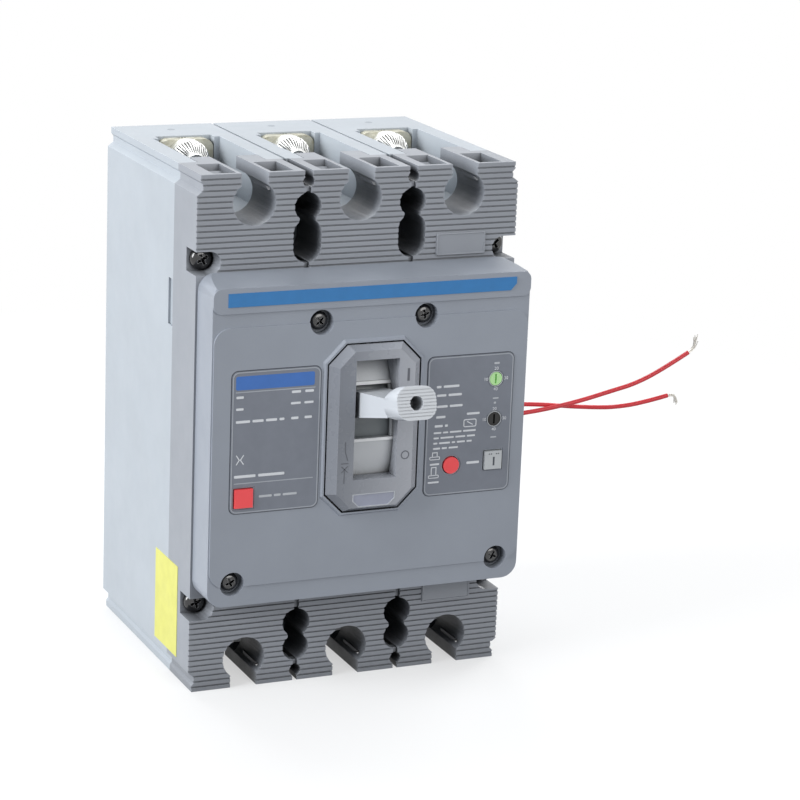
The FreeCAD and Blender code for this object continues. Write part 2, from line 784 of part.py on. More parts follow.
def make_trim():
    """Printed plates, the colour stripe and the side sticker, all left plain."""
    proud = (panel_face - dim.label_thick, panel_face)
    top, bottom = front_top - 1.5, front_top - 5.7
    left, right = 4.7 - front_half, front_half - 5.1
    stripe = [(left, bottom), (right - 2.0, bottom), (right, bottom + 2.1), (right, top), (left, top)]
    node("accent_stripe", prism("stripe_strip", "y", stripe, proud))
    slack = dim.slide_gap + 0.35
    tall = (-dim.label_bottom, dim.label_top)
    left = plate("left_sheet", sided(-1, dim.label_start, front_half - 6.4), proud, tall, dim.label_round)
    over = (proud[0] - OVER, proud[1] + OVER)
    half = dim.button_half + slack
    hole = box("left_hole", around(trip_spot[0], half), over, around(trip_spot[1], half))
    node("rating_label", cut("left_label", left, [hole]))
    right_x = sided(1, dim.label_start + 1, front_half - 4.8)
    right = plate("right_sheet", right_x, proud, tall, dim.label_round)
    holes = [box("right_hole", around(test_spot[0], half), over, around(test_spot[1], half))]
    holes.append(rod("right_lamp", "y", indicator_spot, dim.indicator_radius + slack, over))
    for height in DIALS.values():
        holes.append(rod("right_dial", "y", (dim.dial_x, height), dim.dial_radius + slack, over))
    node("setting_label", cut("right_label", right, holes))
    low = dim.waist_start + 1.6 - half_height
    front = parting - 9.2
    node("side_sticker", box("sticker_sheet", sided(-1, half_width, half_width + dim.sticker_thick),
                             (front, front + dim.sticker_wide), (low, low + dim.sticker_high)))


def make_case_screws():
    """Four corner screws in the main cover and four in the front cover."""
    corner = []
    seat = cover_face + dim.notch_depth
    for x, z, _ in CORNERS:
        head = rod("corner_head", "y", (x, z), dim.corner_head, (seat - 2.6, seat))
        shank = rod("corner_shank", "y", (x, z), dim.corner_shank, (seat, parting + 12))
        corner.append(fuse("corner_screw", [head, shank]))
    node("main_cover_screws", group("corner_screw_set", corner))
    front = []
    seat = strip_face + dim.cover_screw_sink
    for spot in FRONT_SCREWS:
        head = rod("lid_screw_head", "y", spot, dim.cover_screw_head, (seat - 2.2, seat))
        shank = rod("lid_screw_shank", "y", spot, dim.cover_screw_shank, (seat, cover_inner + 8))
        front.append(fuse("lid_screw", [head, shank]))
    node("front_cover_screws", group("lid_screw_set", front))


# ----------------------------------------------------------------------- conductors


def make_terminals():
    """Tin-plated bars with their fixed contact tips, clamp screws, washers and nuts."""
    screws, washers, nuts, tips = [], [], [], []
    bar = (bar_front, back_face)
    pad_start, pad_end = recess_start + 0.4, half_height - 0.7
    for side, pole in POLES.items():
        for end_name, end in ENDS.items():
            pad_z = end_span(end, pad_start, pad_end)
            outer = (2, 3) if end > 0 else (0, 1)
            pad_outline = rectangle(around(pole, dim.pad_half), pad_z)
            pad = prism("bar_pad", "y", pad_outline, bar, rounded=(dim.pad_round, outer))
            inner_end = dim.contact_inner if end > 0 else -load_flange[1]
            neck_z = end_span(end, inner_end, pad_start + OVER)
            neck = box("bar_neck", around(pole, dim.bar_half), bar, neck_z)
            pieces = [pad, neck]
            if end < 0:
                flange = (bar_front - 2, bar_front)
                pieces.append(box("bar_flange", around(pole, dim.arm_half), flange, load_flange))
            stud = (pole, (half_height - dim.stud_inset) * end)
            hole = rod("bar_hole", "y", stud, dim.stud_radius + 0.4, (bar[0] - OVER, bar[1] + OVER))
            node(f"{end_name}_terminal_{side}", cut("bar_solid", fuse("bar_blank", pieces), [hole]))
            screws.append(clamp_screw(stud))
            washer = rod("washer_disc", "y", stud, dim.washer_radius, (bar[0] - dim.washer_thick, bar[0]))
            bore = rod("washer_bore", "y", stud, dim.stud_radius + 0.4, (bar[0] - 5, bar[1]))
            washers.append(cut("washer", washer, [bore]))
            nut = (back_face, back_face + dim.nut_thick)
            half = dim.nut_across / 2 - dim.pin_gap
            block = box("nut_block", around(stud[0], half), nut, around(stud[1], half))
            through = (nut[0] - OVER, nut[1] + OVER)
            thread = rod("nut_thread", "y", stud, dim.stud_radius + dim.pin_gap, through)
            nuts.append(cut("nut", block, [thread]))
        tip_z = (dim.contact_inner + 2, dim.contact_inner + 2 + dim.tip_length)
        tip = (bar_front - dim.tip_thick, bar_front)
        tips.append(box("fixed_tip", around(pole, dim.tip_half), tip, tip_z))
    node("fixed_contact_tips", group("fixed_tip_set", tips))
    node("terminal_screws", group("clamp_screw_set", screws))
    node("terminal_washers", group("washer_set", washers))
    node("terminal_nuts", group("nut_set", nuts))


def clamp_screw(stud):
    seat = bar_front - dim.washer_thick
    top = seat - dim.stud_head_length
    head = cone("stud_head", "y", stud, (dim.stud_head_front, dim.stud_head), (top, seat))
    shank = rod("stud_shank", "y", stud, dim.stud_radius, (seat, back_face + dim.nut_thick + 1))
    reach = dim.socket_across / math.sqrt(3)
    corners = [(stud[0] + reach * math.cos(math.radians(a)), stud[1] + reach * math.sin(math.radians(a)))
               for a in range(0, 360, 60)]
    socket = prism("stud_socket", "y", corners, (top - OVER, top + 4.2))
    return cut("clamp_screw", fuse("stud_blank", [head, shank]), [socket])


def make_arc_chutes():
    """A stack of notched steel plates between two fibre cheeks in each pole."""
    low, high = dim.arm_top + 1, dim.chamber_reach
    for side, pole in POLES.items():
        front, back = parting + 3.5, bar_front - 2.5
        cheeks = [box("chute_cheek", around(pole + (chamber_half - 0.7) * turn, as_size(0.7)), (front, back),
                      (low, high)) for turn in (-1, 1)]
        count = int((back - front).value / dim.plate_pitch.value)
        plates = []
        for number in range(count):
            y = front + dim.plate_pitch * (number + 0.5)
            plates.append(box("chute_plate", around(pole, chamber_half - 1.4), (y, y + dim.plate_thick),
                              (low, high - 0.5)))
        notch = box("chute_notch", around(pole, dim.arm_half + 1.2), (front - OVER, back + OVER),
                    (low - OVER, low + 6))
        body = cut("chute_plates", fuse("chute_stack", plates), [notch])
        node(f"arc_chute_{side}", fuse("chute_solid", cheeks + [body]))


def make_contacts():
    """The crossbar with one contact arm and moving tip per pole, standing open."""
    y, z = bar_axis
    span = around(as_size(0), inner_half - 0.3)
    bar = rod("crossbar_round", "x", bar_axis, dim.crossbar_radius, span)
    slots = []
    arms = {}
    tips = []
    face = bar_front - dim.tip_thick
    back = face - dim.tip_thick
    profile = [(y + 2, z - 2), (y + 2, z + 3), (back, dim.arm_top - 18), (back, dim.arm_top),
               (back - dim.arm_thick, dim.arm_top), (back - dim.arm_thick, dim.arm_top - 20), (y - 4, z + 1),
               (y - 4, z - 2)]
    for side, pole in POLES.items():
        slots.append(box("arm_slot", around(pole, dim.arm_half + dim.pin_gap), (y - 9, y + 2.1),
                         (z - 2.1, z + 9)))
        arm = prism("arm_blank", "x", profile, around(pole, dim.arm_half))
        hole = rod("arm_hole", "x", arm_pin(), dim.link_pin + dim.pin_gap, around(pole, dim.arm_half + OVER))
        arms[side] = cut("arm_solid", arm, [hole])
        tip_z = (dim.contact_inner + 2, dim.contact_inner + 2 + dim.tip_length)
        tips.append(box("moving_tip", around(pole, dim.tip_half), (back, face), tip_z))
    angle = dim.opening_angle.value
    solid = cut("crossbar_solid", bar, slots)
    node("crossbar", swing(solid, angle, y.value, z.value))
    for side, arm in arms.items():
        node(f"contact_arm_{side}", swing(arm, angle, y.value, z.value))
    node("moving_contact_tips", swing(group("moving_tip_set", tips), angle, y.value, z.value))


def arm_pin():
    """Where the lower link joins the contact arm, with the contacts closed."""
    return (bar_axis[0] - 4.5, bar_axis[1] + 12)


# ------------------------------------------------------------------ handle mechanism


def make_handle():
    """Handle, steel yoke and springs, made level and then tilted about the pivot."""
    angle = -dim.handle_angle.value
    y, z = hinge_y, hinge_z
    middle = as_size(0)
    ring = rod("arc_outer", "x", (y, z), dim.arc_radius, around(middle, dim.arc_half))
    bore = rod("arc_bore", "x", (y, z), dim.arc_radius - dim.arc_thick, around(middle, dim.arc_half + OVER))
    reach = dim.arc_radius + OVER
    sector = prism("arc_sector", "x", [(y, z), (y - reach, z - reach * 0.37), (y - reach, z + reach * 0.37)],
                   around(middle, dim.arc_half))
    shell = common("arc_shell", cut("arc_ring", ring, [bore]), sector)
    grip_back = dim.grip_reach - dim.grip_thick
    neck = grip_back - 5
    root = (dim.arc_radius - 1.2, dim.stem_rise + 0.1)
    knob_view = [(grip_back, dim.grip_rise), (dim.grip_reach, dim.grip_rise)]
    upper = [(y - r, z + h) for r, h in [root, (neck, dim.neck_rise)] + knob_view]
    lower = [(y - r, z - h) for r, h in reversed([root, (neck, dim.stem_rise - 0.1)] + knob_view)]
    blank = prism("grip_side", "x", upper + lower, around(middle, dim.grip_half))
    tall = around(z, dim.grip_rise)
    knob_room = plate("knob_room", around(middle, dim.grip_half), (y - dim.grip_reach - OVER, y - neck), tall,
                      dim.grip_round)
    high = around(z, dim.stem_rise + OVER)
    stem_room = box("stem_room", around(middle, dim.grip_half - dim.stem_round),
                    (y - neck, y - dim.arc_radius + 3), high)
    grip = fuse("grip_body", [common("knob_body", blank, knob_room), common("stem_body", blank, stem_room)])
    boss = box("grip_boss", around(middle, as_size(4.0)), (y - dim.arc_radius + 0.5, y - dim.yoke_reach),
               around(z, as_size(3.0)))
    whole = fuse("handle_blank", [shell, grip, boss])
    front = y - dim.grip_reach
    tools = [rod("grip_hole", "y", (middle, z), dim.grip_hole, (front - OVER, front + 8))]
    for number in range(-4, 5):
        rib = around(z + dim.grip_pitch * number, dim.grip_groove / 2)
        tools.append(box("grip_groove", around(middle, dim.grip_half + OVER), (front - OVER,
                                                                               front + 0.4), rib))
    node("toggle_handle", swing(cut("handle_solid", whole, tools), angle, y.value, z.value))
    legs = []
    for side in (-1, 1):
        leg = sided(side, dim.yoke_half - dim.yoke_thick, dim.yoke_half)
        legs.append(box("yoke_leg", leg, (y - dim.yoke_reach, y + 4), around(z, as_size(4.0))))
    bridge = (y - dim.yoke_reach, y - dim.yoke_reach + dim.yoke_thick)
    legs.append(box("yoke_bridge", around(middle, dim.yoke_half), bridge, around(z, as_size(4.0))))
    pivot = rod("yoke_pivot", "x", (y, z), dim.stud_pin + dim.pin_gap, around(middle, dim.yoke_half + OVER))
    node("handle_yoke", swing(cut("yoke_solid", fuse("yoke_blank", legs), [pivot]), angle, y.value, z.value))
    springs = []
    for side in (-1, 1):
        x = (dim.yoke_half - dim.yoke_thick - 1.7) * side
        springs.append(rod("main_spring", "y", (x, z), 1.3, (bridge[1], y - 8)))
    node("main_springs", swing(group("main_spring_set", springs), angle, y.value, z.value))


def make_shutter():
    """The curved dust shutter that follows the handle behind the window."""
    y, z = hinge_y, hinge_z
    middle = as_size(0)
    half = dim.arc_half - 0.2
    ring = rod("shutter_outer", "x", (y, z), dim.shutter_radius, around(middle, half))
    bore = rod("shutter_bore", "x", (y, z), dim.shutter_radius - dim.shutter_thick, around(middle,
                                                                                           half + OVER))
    reach = dim.shutter_radius * 2
    low, high = math.radians(-28), math.radians(60)
    sector = [(y, z), (y - reach * math.cos(low), z + reach * math.sin(low)), (y - reach * 1.6, z),
              (y - reach * math.cos(high), z + reach * math.sin(high))]
    arc = prism("shutter_sector", "x", sector, around(middle, half))
    shell = common("shutter_shell", cut("shutter_ring", ring, [bore]), arc)
    lip_outer = rod("lip_outer", "x", (y, z), dim.shutter_radius + dim.lip_rise, around(middle, half - 0.6))
    lip_inner = rod("lip_inner", "x", (y, z), dim.shutter_radius - 0.5, around(middle, half + OVER))
    low_lip, high_lip = z - dim.shutter_foot, z + dim.shutter_head
    depth = (y - reach, y)
    bands = [box("lip_band", around(middle, half), depth, (low_lip - dim.lip_width, low_lip)),
             box("lip_band", around(middle, half), depth, (high_lip, high_lip + dim.lip_width))]
    lips = common("shutter_lips", cut("lip_ring", lip_outer, [lip_inner]), fuse("lip_bands", bands))
    window = box("shutter_window", around(middle, dim.grip_half + dim.swing_gap),
                 (y - dim.shutter_radius - 5, y - 30), (low_lip, high_lip))
    node("handle_shutter", cut("shutter_solid", fuse("shutter_blank", [shell, lips]), [window]))


def make_frame():
    """Two side plates with feet, cross ties and the studs that carry the handle yoke."""
    front, back = parting - dim.frame_rise, parting + dim.frame_depth
    pieces = []
    inner, outer = dim.frame_inner, dim.frame_inner + dim.frame_thick
    for side in (-1, 1):
        x = sided(side, inner, outer)
        pieces.append(box("frame_side", x, (front, back), (-dim.frame_bottom, dim.frame_top)))
        foot = (back - OVER, -dim.floor_thick)
        pieces.append(box("frame_foot", x, foot, (ledge_z - 7, ledge_z - 0.1)))
        pieces.append(box("frame_heel", x, foot, (-dim.frame_bottom, -dim.frame_bottom + 6)))
        stud = sided(side, dim.yoke_half - dim.yoke_thick - 0.2, inner + OVER)
        pieces.append(rod("frame_stud", "x", (hinge_y, hinge_z), dim.stud_pin, stud))
    tie = around(as_size(0), outer)
    pieces.append(box("frame_upper_tie", tie, (front, front + 5), (dim.frame_top - 3, dim.frame_top)))
    pieces.append(box("frame_lower_tie", tie, (front, front + 5), (-dim.frame_bottom, -dim.frame_bottom + 3)))
    notch = around(as_size(0), outer + OVER)
    tools = [rod("frame_trip_way", "x", trip_axis, dim.trip_bar_radius + 1, notch)]
    tools.append(rod("frame_cradle_way", "x", cradle_pin(), 1.5 + dim.pin_gap, notch))
    node("mechanism_frame", cut("frame_solid", fuse("frame_blank", pieces), tools))


def cradle_pin():
    return (hinge_y - 6, hinge_z + 18.5)


def link_pin():
    """The upper toggle link's pivot on the cradle."""
    return (hinge_y - 2, hinge_z + 7.5)


def make_linkage():
    """The cradle and the two pairs of toggle links, in layers that pass each other."""
    py, pz = cradle_pin()
    uy, uz = link_pin()
    shape = [(py - 3.5, pz + 3.5), (py + 3.5, pz + 3.5), (uy + 3.5, uz), (uy + 2, uz - 25), (uy - 3, uz - 27),
             (uy - 5, uz)]
    cheeks = [prism("cradle_cheek", "x", shape, sided(side, 4.6, 6.0)) for side in (-1, 1)]
    web = box("cradle_web", around(as_size(0), as_size(6.0)), (uy - 2, uy + 1), (uz - 26, uz - 22))
    pin = rod("cradle_pivot", "x", (py, pz), 1.5, around(as_size(0), dim.frame_inner + dim.frame_thick))
    hole = rod("cradle_hole", "x", (uy, uz), dim.link_pin + dim.pin_gap, around(as_size(0), as_size(7.0)))
    node("cradle", cut("cradle_solid", fuse("cradle_blank", cheeks + [web, pin]), [hole]))
    upper = [box("upper_bar", sided(side, 6.4, 7.6), (uy - dim.link_half,
                                                      uy + dim.link_length + dim.link_half),
                 around(uz, dim.link_half)) for side in (-1, 1)]
    upper.append(rod("upper_pin", "x", (uy, uz), dim.link_pin, around(as_size(0), as_size(7.6))))
    eye = rod("upper_eye", "x", (uy + dim.link_length, uz), 1.6, around(as_size(0), as_size(8.0)))
    links = cut("upper_solid", fuse("upper_blank", upper), [eye])
    node("upper_links", swing(links, 14.6, uy.value, uz.value))
    turn = math.radians(dim.opening_angle.value)
    ry, rz = arm_pin()[0] - bar_axis[0], arm_pin()[1] - bar_axis[1]
    ly = bar_axis[0] + ry * math.cos(turn) - rz * math.sin(turn)
    lz = bar_axis[1] + ry * math.sin(turn) + rz * math.cos(turn)
    lower = [box("lower_bar", sided(side, 4.6, 6.0), (ly - dim.link_length - dim.link_half,
                                                      ly + dim.link_half),
                 around(lz, dim.link_half)) for side in (-1, 1)]
    lower.append(rod("lower_pin", "x", (ly, lz), dim.link_pin, around(as_size(0), as_size(6.0))))
    lower.append(rod("knee_pin", "x", (ly - dim.link_length, lz), 1.5, around(as_size(0), as_size(6.2))))
    node("lower_links", swing(fuse("lower_solid", lower), -19.9, ly.value, lz.value))


# -------------------------------------------------------------------------- trip unit


def make_trip_unit():
    """Bimetals, magnets and armatures, and the trip bar that they push."""
    ty, tz = trip_axis
    span = around(as_size(0), inner_half - 0.3)
    arms = [rod("trip_round", "x", trip_axis, dim.trip_bar_radius, span)]
    strips, yokes = [], []
    front = bar_front - 2
    strip_z = (load_flange[0] + 2, load_flange[0] + 2 + dim.bimetal_thick)
    for side, pole in POLES.items():
        strips.append(box("bimetal_strip", around(pole, dim.arm_half), (ty - 3.5, front), strip_z))
        arms.append(box("trip_tab", around(pole, as_size(1.5)), (ty - 4.5, ty - 1.5), (tz - 4.3, tz)))
        yokes.append(magnet_yoke(pole))
        node(f"armature_{side}", armature(pole))
    for spot in (trip_spot, indicator_spot):
        arms.append(box("trip_finger", around(spot[0], as_size(1.0)), (ty - 4, ty - 1), (tz, spot[1] + 1.6)))
    node("trip_bar", fuse("trip_bar_solid", arms))
    node("bimetals", group("bimetal_set", strips))
    node("magnet_yokes", group("magnet_yoke_set", yokes))


def magnet_pivot():
    return (trip_axis[0] + 25, load_flange[0] + 12.25)


def magnet_yoke(pole):
    py, pz = magnet_pivot()
    rear = (load_flange[0] + 0.5, load_flange[0] + 0.5 + dim.magnet_thick)
    depth = (py - 13, py + 1)
    pieces = [box("magnet_back", around(pole, chamber_half), depth, rear)]
    for side in (-1, 1):
        cheek = around(pole + (dim.magnet_half - dim.magnet_thick / 2) * side, dim.magnet_thick / 2)
        pieces.append(box("magnet_cheek", cheek, depth, (rear[1], pz - 3.2)))
        pieces.append(box("magnet_ear", cheek, (py - 2, py + 2), (pz - 4, pz + 1.8)))
    hole = rod("magnet_hole", "x", (py, pz), 0.9 + dim.pin_gap, around(pole, dim.magnet_half + OVER))
    return cut("magnet_yoke", fuse("magnet_blank", pieces), [hole])


def armature(pole):
    py, pz = magnet_pivot()
    half = dim.magnet_half - dim.magnet_thick - dim.swing_gap
    flap = box("armature_flap", around(pole, half), (py - 13, py), around(pz, as_size(0.75)))
    pin = rod("armature_pin", "x", (py, pz), 0.9, around(pole, dim.magnet_half))
    return fuse("armature_solid", [flap, pin])


def make_leakage_unit():
    """The summing transformer around the bars, its board, release coil and plunger."""
    outer_x, inner_x = inner_half - 0.8, inner_half - 6.3
    z = (leak_room[0] + 2.4, leak_room[1] - 2.5)
    ring = prism("core_block", "z", rectangle(around(as_size(0), outer_x), (bar_front - 14,
                                                                            -dim.floor_thick)), z)
    eye = box("core_eye", around(as_size(0), inner_x), (bar_front - 7.5, back_face + 9),
              (z[0] - OVER, z[1] + OVER))
    node("sensor_core", cut("core_solid", ring, [eye]))
    around_leg = (z[0] - 1.8, z[1] + 1.8)
    wound = box("winding_block", around(as_size(0), as_size(9.0)), (bar_front - 15.8,
                                                                    bar_front - 5.7), around_leg)
    leg = box("winding_leg", around(as_size(0), as_size(12.0)), (bar_front - 14, bar_front - 7.5), z)
    node("sensor_winding", cut("winding_solid", wound, [leg]))
    board = box("board_sheet", board_x, (board_face, board_back), around(as_size(0), dim.board_half))
    way = rod("board_way", "y", indicator_spot, dim.rod_radius + 0.5, (board_face - OVER, board_back + OVER))
    node("leakage_board", cut("board_solid", board, [way]))
    coil_end = parting - 1.5
    coil = rod("coil_round", "y", indicator_spot, 6.5, (cover_inner, coil_end))
    bore = rod("coil_bore", "y", indicator_spot, 1.5 + dim.slide_gap, (cover_inner - OVER, coil_end + OVER))
    node("release_coil", cut("coil_solid", coil, [bore]))
    node("release_plunger", rod("plunger_rod", "y", indicator_spot, 1.5, (cover_inner + 4, coil_end + 1.2)))


# ------------------------------------------------------------------- buttons and dials


def push_button(name, spot, tip):
    """A square cap with a retaining flange and a push rod that ends at tip."""
    cap_front = panel_face - dim.button_rise
    flange = (front_inner + dim.slide_gap, front_inner + dim.slide_gap + 0.9)
    half = dim.button_half
    cap = box(f"{name}_cap", around(spot[0], half), (cap_front, flange[1]), around(spot[1], half))
    wide = half + 0.9
    brim = box(f"{name}_brim", around(spot[0], wide), flange, around(spot[1], wide))
    stem = rod(f"{name}_rod", "y", spot, dim.rod_radius, (flange[1], tip))
    return fuse(f"{name}_solid", [cap, brim, stem]), flange[1]


def coil_spring(name, spot, start, end):
    sleeve = rod(f"{name}_sleeve", "y", spot, dim.rod_radius + 1.3, (start, end))
    bore = rod(f"{name}_bore", "y", spot, dim.rod_radius + 0.4, (start - OVER, end + OVER))
    return cut(f"{name}_solid", sleeve, [bore])


def make_buttons():
    """Trip and test buttons with their springs, the pop-out indicator and the dials."""
    button, seat = push_button("trip_cap", trip_spot, trip_axis[0] - 4 - dim.swing_gap)
    node("trip_button", button)
    node("trip_button_spring", coil_spring("trip_coil", trip_spot, seat, cover_face))
    button, seat = push_button("test_cap", test_spot, board_face - 2.5)
    node("test_button", button)
    node("test_button_spring", coil_spring("test_coil", test_spot, seat, board_face))
    flange = (board_face - 2.4, board_face - 1.6)
    lamp = rod("lamp_cap", "y", indicator_spot, dim.indicator_radius, (panel_face - 0.6, flange[1]))
    brim = rod("lamp_brim", "y", indicator_spot, dim.indicator_radius + 0.9, flange)
    stem = rod("lamp_rod", "y", indicator_spot, dim.rod_radius, (flange[1], cover_inner + 2))
    node("indicator_button", fuse("lamp_solid", [lamp, brim, stem]))
    for name, height in DIALS.items():
        spot = (dim.dial_x, height)
        cap = rod(f"{name}_cap", "y", spot, dim.dial_radius, (panel_face - 0.2, front_inner + 1))
        stem = rod(f"{name}_stem", "y", spot, dim.rod_radius, (front_inner, board_face - 0.1))
        slot = box(f"{name}_slot", around(spot[0], as_size(0.3)), (panel_face - OVER, panel_face + 0.7),
                   around(spot[1], dim.dial_radius * 0.72))
        node(name, cut(f"{name}_solid", fuse(f"{name}_blank", [cap, stem]), [slot]))


# ------------------------------------------------------------------------------ leads

UPPER_LEAD = [
    (54.3, -63.4, -7.6), (64.0, -63.3, -7.3), (74.0, -63.0, -6.9), (84.0, -62.9, -5.8), (94.0, -62.7, -4.2),
    (104.0, -62.4, -2.1), (113.6, -62.1, -0.2), (124.0, -61.7, 4.0), (133.6, -61.4, 9.1),
]
LOWER_LEAD = [
    (54.3, -61.2, -4.4), (63.0, -61.1, -4.1), (72.0, -61.2, -4.5), (81.0, -61.2, -5.4), (89.0, -61.0, -6.6),
    (97.2, -60.8, -7.6), (106.3, -60.6, -8.4), (117.0, -60.4, -7.8), (127.2, -60.2, -5.9),
]
UPPER_BARE = [(133.6, -61.4, 9.1), (135.5, -61.32, 10.11), (136.6, -61.25, 12.2), (137.2, -61.2, 14.6)]
LOWER_BARE = [(127.2, -60.2, -5.9), (129.2, -60.16, -5.53), (130.6, -60.1, -6.9), (130.9, -60.1, -8.9)]


def smooth_tube(name, points, radius):
    """A round tube along straight runs joined by the largest tangent arcs that fit."""
    spots = [Vector(*point) for point in points]
    edges = []
    here = spots[0]
    radii = []
    for before, corner, after in zip(spots, spots[1:], spots[2:]):
        back = (before - corner).normalize()
        ahead = (after - corner).normalize()
        trim = 0.45 * min(before.distanceToPoint(corner), after.distanceToPoint(corner))
        half_turn = (math.pi - back.getAngle(ahead)) / 2
        bend = trim / math.tan(half_turn)
        middle = corner + (back + ahead).normalize() * (bend / math.cos(half_turn) - bend)
        start, end = corner + back * trim, corner + ahead * trim
        edges.append(Part.LineSegment(here, start).toShape())
        edges.append(Part.Arc(start, middle, end).toShape())
        radii.append(bend)
        here = end
    edges.append(Part.LineSegment(here, spots[-1]).toShape())
    path = Part.Wire(edges)
    ring = Part.Wire([Part.Circle(spots[0], spots[1] - spots[0], radius.value).toShape()])
    piece = doc.addObject("Part::Feature", name)
    piece.Shape = path.makePipeShell([ring], True, False)
    section = math.pi * radius.value ** 2
    print(name, "bend radii", [round(r, 1) for r in radii], "length", round(path.Length, 2),
          "volume ratio", round(piece.Shape.Volume / section / path.Length, 4))
    return piece


def make_leads():
    """Two stiff leads out of a grommet in the right wall, with their bare ends."""
    outer = half_width + dim.grommet_rise
    block = box("grommet_block", (inner_half, outer), (parting, parting + dim.lead_depth), lead_span)
    way = (inner_half - OVER, outer + OVER)
    places = ((dim.upper_bore_depth, dim.upper_bore_drop), (dim.lower_bore_depth, dim.lower_bore_drop))
    spots = [(parting + depth, -(dim.lead_top + drop)) for depth, drop in places]
    bores = [rod("grommet_bore", "x", spot, dim.wire_radius + dim.pin_gap, way) for spot in spots]
    node("wire_grommet", cut("grommet_solid", block, bores))
    for name, route in (("lead_wire_upper", UPPER_LEAD), ("lead_wire_lower", LOWER_LEAD)):
        node(name, smooth_tube(f"{name}_tube", route, dim.wire_radius))
    bare = dim.wire_radius * 0.6
    ends = [smooth_tube("bare_end", points, bare) for points in (UPPER_BARE, LOWER_BARE)]
    node("bare_conductors", group("bare_end_set", ends))


# ------------------------------------------------------------------------------- build

make_base()
make_main_cover()
make_front_cover()
make_escutcheon()
make_trim()
make_case_screws()
make_terminals()
make_arc_chutes()
make_contacts()
make_handle()
make_shutter()
make_frame()
make_linkage()
make_trip_unit()
make_leakage_unit()
make_buttons()
make_leads()

doc.recompute()
for piece in doc.Objects:
    if "Invalid" in piece.State or "Error" in piece.State:
        raise RuntimeError(f"{piece.Label} did not compute: {piece.State}")
for piece in nodes:
    shape = piece.Shape
    if shape.isNull() or not shape.isValid() or not shape.Solids:
        raise RuntimeError(f"{piece.Label} has no valid solid")

os.makedirs("parts", exist_ok=True)
for piece in nodes:
    piece.Shape.exportStep(f"parts/{piece.Label}.step")
print(len(nodes), "nodes written")
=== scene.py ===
"""Looks of the moulded case breaker: materials, printed marks, screws, leads and stage.

Everything is in metres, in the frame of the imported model: +X right, -Y to the front,
+Z up, with the origin on the middle of the back of the base.
"""

import math
import random

import bmesh
import bpy
from mathutils import Matrix, Vector


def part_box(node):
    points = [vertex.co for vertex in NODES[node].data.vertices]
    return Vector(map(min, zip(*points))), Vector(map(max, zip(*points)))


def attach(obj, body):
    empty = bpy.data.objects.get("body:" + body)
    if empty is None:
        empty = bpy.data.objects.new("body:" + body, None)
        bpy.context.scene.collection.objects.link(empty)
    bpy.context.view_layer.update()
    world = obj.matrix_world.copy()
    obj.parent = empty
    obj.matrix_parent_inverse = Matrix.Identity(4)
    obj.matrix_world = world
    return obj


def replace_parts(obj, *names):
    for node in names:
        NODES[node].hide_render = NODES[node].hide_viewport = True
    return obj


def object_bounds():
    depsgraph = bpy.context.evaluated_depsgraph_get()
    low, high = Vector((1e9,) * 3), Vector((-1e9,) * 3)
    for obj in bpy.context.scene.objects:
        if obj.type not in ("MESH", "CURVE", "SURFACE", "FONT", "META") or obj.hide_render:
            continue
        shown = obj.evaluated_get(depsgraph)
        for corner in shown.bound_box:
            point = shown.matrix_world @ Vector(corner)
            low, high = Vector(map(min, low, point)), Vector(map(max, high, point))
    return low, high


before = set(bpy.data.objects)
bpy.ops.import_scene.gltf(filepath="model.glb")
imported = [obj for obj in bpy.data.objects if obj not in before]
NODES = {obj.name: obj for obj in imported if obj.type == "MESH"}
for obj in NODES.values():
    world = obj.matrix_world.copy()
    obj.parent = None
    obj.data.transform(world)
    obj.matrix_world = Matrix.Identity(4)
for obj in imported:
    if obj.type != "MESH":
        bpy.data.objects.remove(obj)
CAD_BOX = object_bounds()
MM = 0.001
random.seed(7)

# Places taken from the model, in millimetres.
POLES = (-35.0, 0.0, 35.0)
ENDS = (1, -1)
TERMINAL_Z = 75.5
CASE_END = 82.5
CORNER_SPOTS = [(x, z) for x in (-49.2, 49.2) for z in (-55.2, 55.2)]
FRONT_SPOTS = [(-17.5, 38.2), (17.5, 38.2), (-44.8, -43.0), (44.8, -43.0)]
DIAL_X = 42.0
DIAL_HEIGHTS = (16.4, 3.3)
# The escutcheon's collar: half its width, its head, its foot and its cut corners.
COLLAR = (16.5, 32.1, 23.7, 6.6)
# Front faces of the main cover, the front cover and the label sheets, and the depths of thin
# marks on the last two.
COVER_Y = -86.0
LID_Y = -100.0
SHEET = -100.3
ON_SHEET = (SHEET - 0.04, SHEET + 0.1)
ON_LID = (LID_Y - 0.04, LID_Y + 0.1)
# The axis that the handle and its shutter turn about, as Y and Z in metres.
PIVOT = (-0.0600, 0.0015)


# ---------------------------------------------------------------------------- helpers


def linear(red, green, blue):
    """A colour given as it shows on screen, 0 to 255, as linear light."""
    def channel(value):
        value /= 255
        return value / 12.92 if value <= 0.04045 else ((value + 0.055) / 1.055) ** 2.4
    return (channel(red), channel(green), channel(blue), 1.0)


def shade(colour, factor):
    """A colour made lighter or darker by a factor."""
    return tuple(min(1.0, c * factor) for c in colour[:3]) + (1.0,)


